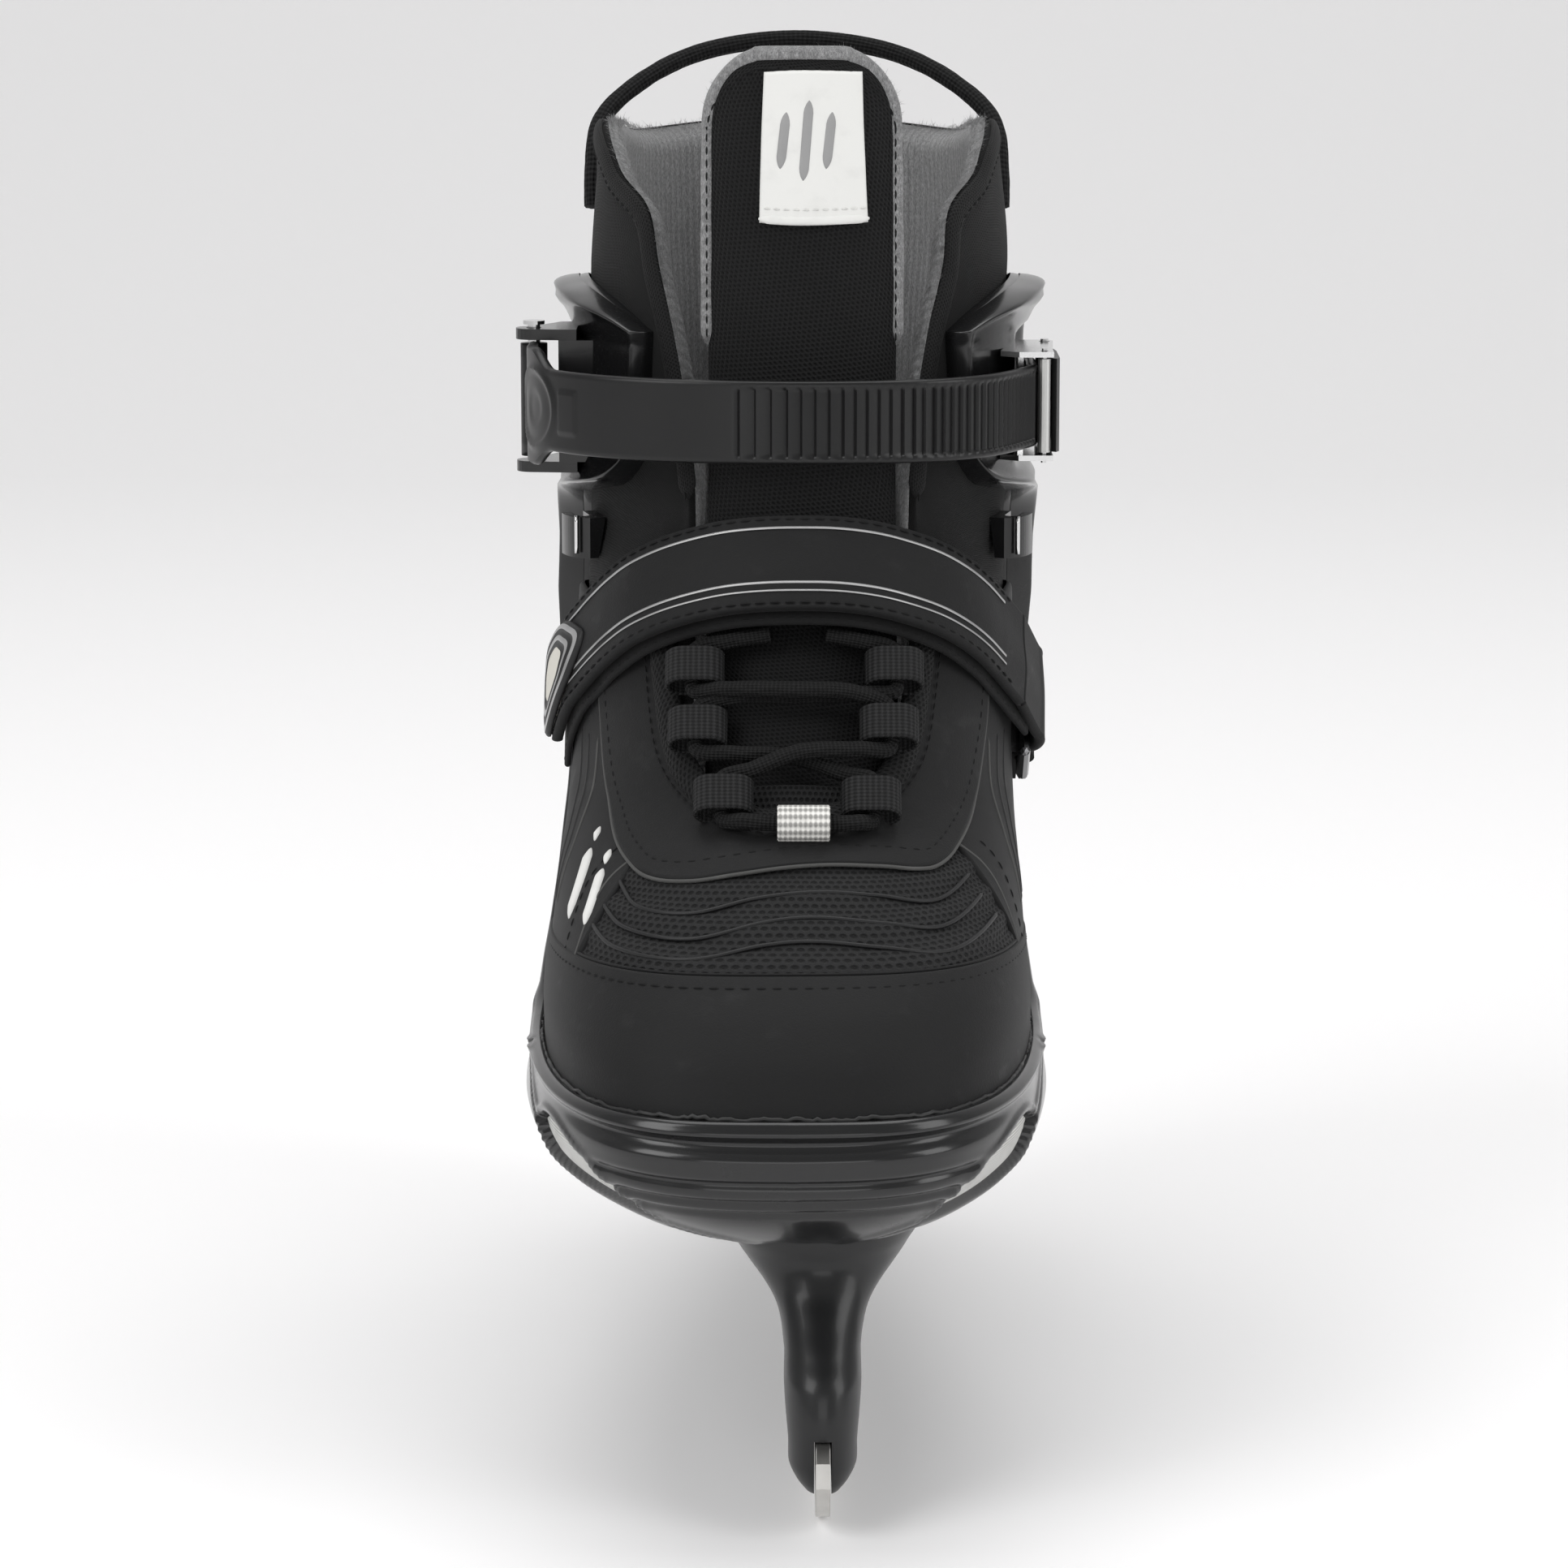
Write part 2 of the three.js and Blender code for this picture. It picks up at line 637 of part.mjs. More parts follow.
// Side view of the cuff: an ear round the hinge, a wing forward under the strap, a tall back.
function cuffOutline() {
  const shape = new THREE.Shape();
  const ear = HINGE_CAP_RADIUS + 12;
  shape.moveTo(-21, 239);
  shape.lineTo(-23, 210);
  shape.quadraticCurveTo(-16, 203, 6, 200);
  shape.quadraticCurveTo(34, 194, HINGE_Y - ear, HINGE_Z + 6);
  shape.absarc(HINGE_Y, HINGE_Z, ear, Math.PI * 0.9, Math.PI * 2.15, false);
  shape.quadraticCurveTo(100, 176, 160, 182);
  shape.lineTo(160, 257);
  shape.quadraticCurveTo(94, 256, 74, 245);
  shape.quadraticCurveTo(46, 243, 26, 247);
  shape.quadraticCurveTo(2, 246, -21, 239);
  return prism(shape, "x", -100, 100);
}

// The flat that the buckle sits on, cut into the cuff's inner side.
function buckleRecess(grow) {
  return box(BUCKLE_X - grow, 90, -40, 24, BUCKLE_LOW_Z - 2, BUCKLE_HIGH_Z + 2);
}

function buildCuff() {
  return cuffForm(CUFF_GROW)
    .subtract(cuffForm(CUFF_INSIDE))
    .intersect(cuffOutline())
    .subtract(buckleRecess(GAP))
    .subtract(hingePin(-1, GAP))
    .subtract(hingePin(1, GAP));
}

function buildShell() {
  return shellForm(0, SHELL_GROW)
    .subtract(shellRoom())
    .intersect(underShellRim())
    .subtract(vent(-1, 1))
    .subtract(vent(1, 1))
    .subtract(soleBolt(-1, GAP))
    .subtract(soleBolt(1, GAP))
    .subtract(hingePin(-1, GAP))
    .subtract(hingePin(1, GAP));
}

// The cloth behind a vent lies in the thickness of the wall.
function ventMesh(side) {
  const depth = 1.2;
  const layer = shellForm(depth, 2).subtract(
    shellForm(depth + VENT_MESH_THICKNESS, 2 - VENT_MESH_THICKNESS),
  );
  return layer.intersect(vent(side, VENT_MESH_SCALE));
}

place("base_shell", buildShell(), PLASTIC);
place("vent_mesh_outer", ventMesh(-1), WHITE);
place("vent_mesh_inner", ventMesh(1), WHITE);
place("hinge_pin_outer", hingePin(-1, 0), SATIN);
place("hinge_pin_inner", hingePin(1, 0), SATIN);
place("ankle_cuff", buildCuff(), PLASTIC);

// ---------------------------------------------------------------- sewn boot

const skinLow = bootForm(BOOT_SOLE_Z, BOOT_TOP, 0)
  .subtract(bootForm(BOOT_SOLE_Z - 1, BOOT_TOP + 1, -SKIN))
  .subtract(box(-100, 100, -200, 200, 0, BOOT_SOLE_Z + 6));
const lining = bootForm(BOOT_SOLE_Z, BOOT_TOP, -SKIN - GAP).subtract(
  bootForm(BOOT_SOLE_Z + 4, BOOT_TOP + 1, -SKIN - GAP - PADDING),
);
const footSkin = skinLow.subtract(aboveLow).subtract(throat(0));
const footLining = lining.subtract(aboveLow).subtract(throat(0));
const shaftSkin = skinLow.intersect(aboveHigh).intersect(underCollar()).subtract(throat(0));
const shaftLining = lining.intersect(aboveHigh).intersect(underCollar()).subtract(throat(0));

// The panels are cut from one skin along their seams.
const randZone = prism(
  [
    [-170, 60],
    [-170, RAND_SEAM_Z + 2],
    [-128, RAND_SEAM_Z + 2],
    [-84, RAND_SEAM_Z - 4],
    [-64, RAND_SEAM_Z - 10],
    [-60, 60],
  ],
  "x",
  -100,
  100,
);
const seamCut = prism(
  [
    [-170, 60],
    [-170, RAND_SEAM_Z + 2 + GAP],
    [-127.9, RAND_SEAM_Z + 2 + GAP],
    [-83.9, RAND_SEAM_Z - 4 + GAP],
    [-63.7, RAND_SEAM_Z - 10 + GAP],
    [-59.7, 60],
  ],
  "x",
  -100,
  100,
);

// The eyestay is the U-shaped overlay round the throat, seen from the front.
function eyestayZone(grow) {
  return prism(
    [
      [-34 - grow, 131 - grow],
      [-45 - grow, 144],
      [-48 - grow, 200],
      [40 + grow, 200],
      [36 + grow, 144],
      [24 + grow, 131 - grow],
    ],
    "y",
    -160,
    -20 + grow,
  );
}

const aboveSeam = footSkin.subtract(seamCut);
const vampZone = box(-100, 100, -170, -66, 80, 160);
const vampCut = box(-100, 100, -170, -66 + GAP, 80, 160);
const behindVamp = aboveSeam.subtract(eyestayZone(GAP)).subtract(vampCut);
const outerSide = box(-100, -6 - GAP / 2, -100, 96, 60, 220);
const innerSide = box(-6 + GAP / 2, 100, -100, 96, 60, 220);
const heelZone = box(-100, 100, 96 + GAP, 200, 60, 220);

place("toe_rand", footSkin.intersect(randZone), SYNTHETIC);
place("vamp", aboveSeam.subtract(eyestayZone(GAP)).intersect(vampZone), MESH_CLOTH);
place("eyestay", aboveSeam.intersect(eyestayZone(0)), SYNTHETIC);
place("quarter_outer", behindVamp.intersect(outerSide), SYNTHETIC);
place("quarter_inner", behindVamp.intersect(innerSide), SYNTHETIC);
place("heel_counter", behindVamp.intersect(heelZone), SYNTHETIC);
place("foot_lining", footLining, FLEECE);
place("shaft_outer", shaftSkin, SYNTHETIC);
place("shaft_lining", shaftLining, FLEECE);

function buildInsole() {
  const low = BOOT_SOLE_Z + 4 + GAP;
  return bootForm(low, low + INSOLE_THICKNESS, -SKIN - GAP * 3 - PADDING - 0.3);
}

place("insole", buildInsole(), FLEECE);

// ---------------------------------------------------------------- tongue

const TONGUE_HALF = THROAT_HALF - 0.8;

// The tongue in front view: a strip with a rounded top.
function tongueZone(half, low, high, topRound) {
  const shape = new THREE.Shape();
  shape.moveTo(THROAT_X - half, low);
  shape.lineTo(THROAT_X + half, low);
  shape.lineTo(THROAT_X + half, high - topRound);
  shape.absellipse(THROAT_X, high - topRound, half, topRound, 0, Math.PI, false);
  shape.lineTo(THROAT_X - half, low);
  return prism(shape, "y", -170, 6);
}

const tongueWall = bootForm(BOOT_SOLE_Z + 20, BOOT_TOP, -TONGUE_INSET).subtract(
  bootForm(BOOT_SOLE_Z + 19, BOOT_TOP + 1, -TONGUE_INSET - TONGUE_THICKNESS),
);

function buildTongueLow() {
  const base = THROAT_LOW_Z + 1.2;
  const foot = new THREE.Shape();
  foot.moveTo(THROAT_X - TONGUE_HALF, 220);
  foot.lineTo(THROAT_X - TONGUE_HALF, base + 13);
  foot.absellipse(THROAT_X, base + 13, TONGUE_HALF, 13, Math.PI, Math.PI * 2, false);
  foot.lineTo(THROAT_X + TONGUE_HALF, 220);
  foot.closePath();
  return tongueWall.intersect(prism(foot, "y", -170, 6)).subtract(aboveLow);
}

function buildTongueHigh() {
  return tongueWall.intersect(tongueZone(TONGUE_HALF, 160, TONGUE_TOP_Z, 15)).intersect(aboveHigh);
}

function buildLabel() {
  const face = -TONGUE_INSET + GAP;
  const layer = bootForm(200, BOOT_TOP, face + LABEL_THICKNESS).subtract(
    bootForm(199, BOOT_TOP + 1, face),
  );
  const high = TONGUE_TOP_Z - 4;
  const x = THROAT_X + 2.5;
  const half = LABEL_WIDTH / 2;
  return layer.intersect(box(x - half, x + half, -80, 0, high - LABEL_HEIGHT, high));
}

place("tongue_lower", buildTongueLow(), MESH_CLOTH);
place("tongue_upper", buildTongueHigh(), MESH_CLOTH);
place("tongue_label", buildLabel(), WHITE);

// ---------------------------------------------------------------- ankle strap and ratchet

// The strap's middle line seen from above. Its tail runs on an arc about the hinge pin, so it
// slides through the ratchet without rubbing.
function strapLine() {
  const channel = BUCKLE_X + BUCKLE_PLATE + RUNNING_GAP + STRAP_THICKNESS / 2;
  const radius = channel + 0.3 - STRAP_PIN_X;
  const tail = [-15, -8, 0, 8, 15].map((rise) => [
    STRAP_PIN_X + Math.sqrt(radius ** 2 - rise ** 2),
    STRAP_PIN_Y + rise,
  ]);
  const front = [
    [STRAP_PIN_X, STRAP_PIN_Y],
    [STRAP_PIN_X + 0.4, STRAP_PIN_Y - 11],
    [-58, -23],
    [-47, -34],
    [-31, -42],
    [-12, -45.6],
    [7, -45.4],
    [23.5, -41.6],
    [36.5, -32],
  ];
  return new THREE.SplineCurve([...front, ...tail].map(([x, y]) => new THREE.Vector2(x, y)));
}

// A band seen from above, with saw teeth along part of its outer edge.
function strapPlan(from, to, steps, toothed) {
  const line = strapLine();
  const inner = [];
  const outer = [];
  for (let i = 0; i <= steps; i += 1) {
    const share = from + ((to - from) * i) / steps;
    const at = line.getPointAt(share);
    const way = line.getTangentAt(share);
    const half = STRAP_THICKNESS / 2;
    inner.push([at.x - way.y * half, at.y + way.x * half]);
    if (!toothed || i > 0) outer.push([at.x + way.y * half, at.y - way.x * half]);
    if (toothed && i < steps) {
      const cut = half - STRAP_TOOTH_DEPTH;
      outer.push([at.x + way.y * cut, at.y - way.x * cut]);
    }
  }
  return [...inner, ...outer.reverse()];
}

const STRAP_HIGH_Z = STRAP_LOW_Z + STRAP_HEIGHT;
const STRAP_END_LOW = STRAP_LOW_Z - STRAP_END_EXTRA;
const STRAP_END_HIGH = STRAP_HIGH_Z + STRAP_END_EXTRA;

// The pin of the strap's hinge, with a round head on top.
function strapPin(grow) {
  const reach = BRACKET_PLATE + RUNNING_GAP + grow;
  const low = vec(STRAP_PIN_X, STRAP_PIN_Y, STRAP_END_LOW - reach);
  const high = vec(STRAP_PIN_X, STRAP_PIN_Y, STRAP_END_HIGH + reach + 0.8);
  const headTop = vec(STRAP_PIN_X, STRAP_PIN_Y, high.z + 0.8 + grow);
  const shank = rod(low, high, STRAP_PIN_RADIUS + grow, 16);
  return grow > 0 ? shank : shank.add(rod(high, headTop, STRAP_PIN_RADIUS + 1, 16));
}

function buildAnkleStrap() {
  const plain = prism(strapPlan(0, 0.5, 24, false), "z", STRAP_LOW_Z, STRAP_HIGH_Z);
  const toothed = prism(strapPlan(0.36, 1, STRAP_TEETH, true), "z", STRAP_LOW_Z, STRAP_HIGH_Z);
  const endPlate = prism(strapPlan(0, 0.13, 6, false), "z", STRAP_END_LOW, STRAP_END_HIGH);
  const knuckle = rod(
    vec(STRAP_PIN_X, STRAP_PIN_Y, STRAP_END_LOW),
    vec(STRAP_PIN_X, STRAP_PIN_Y, STRAP_END_HIGH),
    STRAP_PIN_RADIUS + 1.6,
    20,
  );
  const teethZone = box(-18, 90, -80, 60, 0, 400);
  return joined(plain.subtract(teethZone), toothed.intersect(teethZone), endPlate, knuckle).subtract(
    strapPin(GAP),
  );
}

// The bracket is a plate on the cuff's outer side with an ear above and below the strap.
function buildBracket() {
  const low = STRAP_END_LOW - RUNNING_GAP;
  const high = STRAP_END_HIGH + RUNNING_GAP;
  const back = STRAP_PIN_X + 5.6;
  const seat = box(back, -40, STRAP_PIN_Y - 5, STRAP_PIN_Y + 14, low, high);
  const ear = new THREE.Shape();
  ear.moveTo(back + 4, STRAP_PIN_Y + 14);
  ear.lineTo(back + 4, STRAP_PIN_Y - 5);
  ear.lineTo(STRAP_PIN_X, STRAP_PIN_Y - 4);
  ear.absarc(STRAP_PIN_X, STRAP_PIN_Y, 4, -Math.PI / 2, Math.PI / 2, true);
  ear.lineTo(back, STRAP_PIN_Y + 14);
  ear.closePath();
  const ears = prism(ear, "z", low - BRACKET_PLATE, low).add(
    prism(ear, "z", high, high + BRACKET_PLATE),
  );
  const clear = cuffForm(CUFF_GROW.map(([z, grow]) => [z, grow + GAP]));
  return seat.add(ears).subtract(clear).subtract(strapPin(GAP));
}

place("strap_bracket", buildBracket(), PLASTIC);
place("strap_hinge_pin", strapPin(0), STEEL);
place("ankle_strap", buildAnkleStrap(), SATIN);


function buckleRod(x, y, radius, reach) {
  return rod(vec(x, y, BUCKLE_LOW_Z - reach), vec(x, y, BUCKLE_HIGH_Z + reach), radius, 14);
}

// A bent steel channel: a base plate on the cuff and an ear above and below the strap.
function buildBuckleBase() {
  const front = PAWL_PIN_Y - 2.4;
  const back = LEVER_PIN_Y + 4;
  const outside = LEVER_PIN_X + 2;
  const base = box(BUCKLE_X, BUCKLE_X + BUCKLE_PLATE, front + 6, back, BUCKLE_LOW_Z, BUCKLE_HIGH_Z);
  const ear = [
    [BUCKLE_X - 4, front + 3],
    [BUCKLE_X, front],
    [outside - 1, front],
    [outside - 1, front + 6],
    [outside, back - 2],
    [outside - 1, back],
    [BUCKLE_X, back],
  ];
  return joined(
    base,
    prism(ear, "z", BUCKLE_LOW_Z, BUCKLE_LOW_Z + BUCKLE_PLATE),
    prism(ear, "z", BUCKLE_HIGH_Z - BUCKLE_PLATE, BUCKLE_HIGH_Z),
  )
    .subtract(cuffForm(CUFF_GROW.map(([z, grow]) => [z, grow + GAP])).subtract(buckleRecess(0)))
    .subtract(buckleRod(LEVER_PIN_X, LEVER_PIN_Y, LEVER_PIN_RADIUS + GAP, 5))
    .subtract(buckleRod(PAWL_PIN_X, PAWL_PIN_Y, PAWL_PIN_RADIUS + GAP, 5));
}

const LEVER_LOW = BUCKLE_LOW_Z + BUCKLE_PLATE + RUNNING_GAP;
const LEVER_HIGH = BUCKLE_HIGH_Z - BUCKLE_PLATE - RUNNING_GAP;

function buildLever() {
  const face = LEVER_PIN_X + 0.7;
  const profile = [
    [LEVER_PIN_X, LEVER_PIN_Y - 2],
    [face, LEVER_PIN_Y - 3],
    [face, LEVER_PIN_Y - LEVER_LENGTH],
    [face + LEVER_THICKNESS * 0.6, LEVER_PIN_Y - LEVER_LENGTH - 1],
    [face + LEVER_THICKNESS, LEVER_PIN_Y - LEVER_LENGTH + 1],
    [face + LEVER_THICKNESS, LEVER_PIN_Y - 4],
    [LEVER_PIN_X + 2, LEVER_PIN_Y + 1],
    [LEVER_PIN_X, LEVER_PIN_Y + 2],
  ];
  const hub = rod(
    vec(LEVER_PIN_X, LEVER_PIN_Y, LEVER_LOW),
    vec(LEVER_PIN_X, LEVER_PIN_Y, LEVER_HIGH),
    2.05,
    18,
  );
  return prism(profile, "z", LEVER_LOW, LEVER_HIGH)
    .add(hub)
    .subtract(buckleRod(LEVER_PIN_X, LEVER_PIN_Y, LEVER_PIN_RADIUS + GAP, 5));
}

function buildPawl() {
  const plate = box(
    PAWL_PIN_X - 0.5,
    PAWL_PIN_X + 0.5,
    PAWL_PIN_Y,
    PAWL_PIN_Y + PAWL_LENGTH,
    LEVER_LOW + 2,
    LEVER_HIGH - 2,
  );
  const hub = rod(
    vec(PAWL_PIN_X, PAWL_PIN_Y, LEVER_LOW),
    vec(PAWL_PIN_X, PAWL_PIN_Y, LEVER_HIGH),
    1.4,
    16,
  );
  return plate.add(hub).subtract(buckleRod(PAWL_PIN_X, PAWL_PIN_Y, PAWL_PIN_RADIUS + GAP, 5));
}

place("buckle_base", buildBuckleBase(), CHROME);
place("buckle_lever", buildLever(), PLASTIC);
place("buckle_lever_pin", buckleRod(LEVER_PIN_X, LEVER_PIN_Y, LEVER_PIN_RADIUS, 0.6), STEEL);
place("buckle_pawl", buildPawl(), STEEL);
place("buckle_pawl_pin", buckleRod(PAWL_PIN_X, PAWL_PIN_Y, PAWL_PIN_RADIUS, 0.6), STEEL);

// ---------------------------------------------------------------- instep strap

const SLOPE = THREE.MathUtils.degToRad(INSTEP_SLOPE_DEG);
// Up the instep, and straight out of it.
const INSTEP_UP = vec(0, Math.cos(SLOPE), Math.sin(SLOPE));
const INSTEP_OUT = vec(0, -Math.sin(SLOPE), Math.cos(SLOPE));

function instepPoint(x, out, up) {
  return vec(x, 0, 0).addScaledVector(INSTEP_OUT, out).addScaledVector(INSTEP_UP, up);
}

// An outline in X and the outward direction, extruded up the instep.
function instepPrism(outlinePoints, low, high) {
  const shape =
    outlinePoints instanceof THREE.Shape
      ? outlinePoints
      : new THREE.Shape(outlinePoints.map(([a, b]) => new THREE.Vector2(a, b)));
  const geometry = new THREE.ExtrudeGeometry(shape, {
    depth: high - low,
    bevelEnabled: false,
    curveSegments: 6,
  });
  geometry.translate(0, 0, low);
  geometry.applyMatrix4(new THREE.Matrix4().makeBasis(vec(1, 0, 0), INSTEP_OUT, INSTEP_UP));
  flipFaces(geometry);
  return solid(geometry);
}

// The arch of the strap over the instep, as a curve in X and the outward direction.
const ARCH = new THREE.SplineCurve(
  [
    [-55.6, 94],
    [-54.4, 106],
    [-51.4, 119],
    [-47.2, 128],
    [-43.2, 136.4],
    [-34.6, 147.6],
    [-20, 156],
    [-4, 158],
    [10, 156],
    [23.8, 147.6],
    [32.2, 136.4],
    [36.2, 128],
    [40.2, 119],
    [RING_BAR_X + 0.3, RING_BAR_N + 5],
  ].map(([x, out]) => new THREE.Vector2(x, out)),
);

function archBand(from, to, inside, thickness, steps) {
  const inner = [];
  const outer = [];
  for (let i = 0; i <= steps; i += 1) {
    const share = from + ((to - from) * i) / steps;
    const at = ARCH.getPointAt(share);
    const way = ARCH.getTangentAt(share);
    inner.push([at.x - way.y * inside, at.y + way.x * inside]);
    const far = inside + thickness;
    outer.push([at.x - way.y * far, at.y + way.x * far]);
  }
  return [...inner, ...outer.reverse()];
}

const BAND_LOW = INSTEP_BAND_MID - INSTEP_BAND_WIDTH / 2;
const BAND_HIGH = INSTEP_BAND_MID + INSTEP_BAND_WIDTH / 2;
const FLAP_INSIDE = UNDER_BAND_THICKNESS + GAP * 2;

function buildUnderBand() {
  return instepPrism(archBand(0, 0.985, 0, UNDER_BAND_THICKNESS, 26), BAND_LOW - 1.5, BAND_HIGH - 1);
}

// The flap folds round the ring's upper bar and lies back over the under band.
function buildFlap() {
  const arch = archBand(0.05, 0.965, FLAP_INSIDE, FLAP_THICKNESS, 26);
  const band = instepPrism(arch, BAND_LOW, BAND_HIGH);
  const wrap = rod(
    instepPoint(RING_BAR_X, RING_BAR_N, BAND_LOW + 2),
    instepPoint(RING_BAR_X, RING_BAR_N, BAND_HIGH - 2),
    RING_WIRE_RADIUS + GAP + 1.5,
    20,
  );
  const end = ARCH.getPointAt(0.965);
  const web = instepPrism(
    [
      [end.x + FLAP_INSIDE, end.y + 1.5],
      [end.x + FLAP_INSIDE + FLAP_THICKNESS, end.y + 1],
      [RING_BAR_X + 3, RING_BAR_N + 1],
      [RING_BAR_X + 1.6, RING_BAR_N + 1],
    ],
    BAND_LOW + 2,
    BAND_HIGH - 2,
  );
  const bore = rod(
    instepPoint(RING_BAR_X, RING_BAR_N, 0),
    instepPoint(RING_BAR_X, RING_BAR_N, 300),
    RING_WIRE_RADIUS + GAP,
    20,
  );
  return joined(band, wrap, web).subtract(bore).subtract(buildUnderBand());
}

place("instep_under_strap", buildUnderBand(), SYNTHETIC);
place("instep_strap", buildFlap(), SYNTHETIC);

// The ring hangs from the fold of the straps and is held down by a webbing tab on the boot.
function buildRing() {
  const low = BAND_LOW - 1;
  const high = BAND_HIGH + 1;
  const foot = RING_BAR_N - RING_DROP;
  const corners = [
    instepPoint(RING_BAR_X, RING_BAR_N, low),
    instepPoint(RING_BAR_X, RING_BAR_N, high),
    instepPoint(RING_BAR_X, foot, high),
    instepPoint(RING_BAR_X, foot, low),
  ];
  const sides = corners.map((corner, i) => rod(corner, corners[(i + 1) % 4], RING_WIRE_RADIUS, 8));
  const knees = corners.map((corner) => {
    const ball = new THREE.SphereGeometry(RING_WIRE_RADIUS * 1.01, 6, 4);
    ball.translate(corner.x, corner.y, corner.z);
    return solid(ball);
  });
  return joined(...sides, ...knees);
}

function buildRingTab() {
  const low = BAND_LOW + 3;
  const high = BAND_HIGH - 3;
  const foot = RING_BAR_N - RING_DROP;
  const outside = RING_WIRE_RADIUS + GAP + 1.1;
  const sleeve = rod(
    instepPoint(RING_BAR_X, foot, low),
    instepPoint(RING_BAR_X, foot, high),
    outside,
    20,
  );
  const bore = rod(
    instepPoint(RING_BAR_X, foot, 0),
    instepPoint(RING_BAR_X, foot, 300),
    RING_WIRE_RADIUS + GAP,
    20,
  );
  const tail = instepPrism(
    [
      [RING_BAR_X - outside, foot],
      [RING_BAR_X - outside, foot - RING_TAB_LENGTH],
      [RING_BAR_X - outside + 1.8, foot - RING_TAB_LENGTH],
      [RING_BAR_X - outside + 1.8, foot - 1],
    ],
    low,
    high,
  );
  return joined(sleeve, tail).subtract(bore).subtract(bootForm(BOOT_SOLE_Z, 200, GAP));
}

// A pointed moulded tab closes the free end of the flap.
function buildPullTab() {
  const inside = FLAP_INSIDE + FLAP_THICKNESS + GAP;
  const blank = instepPrism(archBand(0, 0.17, inside, 1.6, 6), BAND_LOW - 8, BAND_HIGH + 8);
  const face = new THREE.Shape();
  const mid = INSTEP_BAND_MID;
  face.moveTo(96, mid - 5);
  face.lineTo(104, mid - 11);
  face.lineTo(122, mid - 8);
  face.lineTo(131, mid);
  face.lineTo(122, mid + 8);
  face.lineTo(104, mid + 11);
  face.lineTo(96, mid + 5);
  face.closePath();
  const geometry = new THREE.ExtrudeGeometry(face, { depth: 40, bevelEnabled: false });
  geometry.applyMatrix4(new THREE.Matrix4().makeBasis(INSTEP_OUT, INSTEP_UP, vec(1, 0, 0)));
  geometry.translate(-90, 0, 0);
  flipFaces(geometry);
  return blank.intersect(solid(geometry));
}

place("strap_ring", buildRing(), STEEL);
place("ring_tab", buildRingTab(), SYNTHETIC);
place("pull_tab", buildPullTab(), SATIN);

// ---------------------------------------------------------------- laces

// How far out the boot's face lies over the instep, at a place across and up it.
function faceOut(x, up) {
  let low = 100;
  let high = 180;
  while (high - low > 0.01) {
    const middle = (low + high) / 2;
    if (insideBoot(instepPoint(x, middle, up))) low = middle;
    else high = middle;
  }
  return low;
}

function insideBoot(point) {
  const centre = stationAt(BOOT_STATIONS, point.z)[5];
  return Math.abs(point.x - centre) < bootHalf(point.y, point.z);
}

function lacePoint(x, up, rise) {
  return instepPoint(x, faceOut(x, up) + rise, up);
}

// Each webbing loop: its name, its place across, and the place of its middle up the instep.
const LACE_LOOPS = [
  ["lace_loop_outer_top", -27, 95.8],
  ["lace_loop_outer_middle", -26.3, 81.5],
  ["lace_loop_outer_low", -20.7, 63.3],
  ["lace_loop_inner_top", 15.5, 95.8],
  ["lace_loop_inner_middle", 14.2, 81.5],
  ["lace_loop_inner_low", 10.3, 63.3],
];

// The lace is one cord: down one side, through the loop at the foot of the throat, up the other.
// A row is a place across, up the instep and out from the boot's face, or the number of the
// webbing loop that the cord passes and whether it goes up or down through it.
const LACE_ROUTE = [
  [-11, 103.5, 2.6],
  [-20, 102.2, 4],
  [0, -1],
  [-21, 89.6, 6],
  [-6, 88, 6.6],
  [7, 88.4, 5.9],
  [4, -1],
  [7, 74.9, 5.8],
  [-5, 73, 6.6],
  [-15, 69.5, 5.8],
  [2, -1],
  [-16, 56.6, LOOP_RISE],
  [-11, 56, LOOP_RISE],
  [3, 56, LOOP_RISE],
  [7.5, 56.6, LOOP_RISE],
  [5, 1],
  [5, 70, 3.4],
  [-6, 74, 2.4],
  [-18, 74.9, 3.4],
  [1, 1],
  [-19, 88.4, 3.6],
  [-6, 88.5, 2.4],
  [9, 89.6, 3.6],
  [3, 1],
  [9, 102.2, 4],
  [1, 103.5, 2.6],
];

function lacePoints() {
  return LACE_ROUTE.flatMap((row) => {
    if (row.length === 3) return [lacePoint(...row)];
    const [, x, up] = LACE_LOOPS[row[0]];
    const out = faceOut(x, up) + LOOP_RISE;
    const reach = LOOP_LENGTH / 2 + 0.8;
    return [-reach, 0, reach].map((step) => instepPoint(x, out, up + row[1] * step));
  });
}

function buildLace() {
  return tube(lacePoints(), LACE_RADIUS, 72, LACE_SIDES);
}

// A folded webbing loop: a flat ring, as long as the webbing is wide.
function laceLoop(x, up) {
  const hole = LACE_RADIUS + LOOP_CLEARANCE;
  const out = faceOut(x, up) + LOOP_RISE;
  const shape = loopOutline(new THREE.Shape(), x, out, hole + WEBBING_THICKNESS);
  shape.holes.push(loopOutline(new THREE.Path(), x, out, hole));
  return instepPrism(shape, up - LOOP_LENGTH / 2, up + LOOP_LENGTH / 2);
}

// A round-ended outline about a place across and out.
function loopOutline(path, x, out, half) {
  path.moveTo(x - LOOP_FLAT, out - half);
  path.lineTo(x + LOOP_FLAT, out - half);
  path.absarc(x + LOOP_FLAT, out, half, -Math.PI / 2, Math.PI / 2, false);
  path.lineTo(x - LOOP_FLAT, out + half);
  path.absarc(x - LOOP_FLAT, out, half, Math.PI / 2, Math.PI * 1.5, false);
  return path;
}

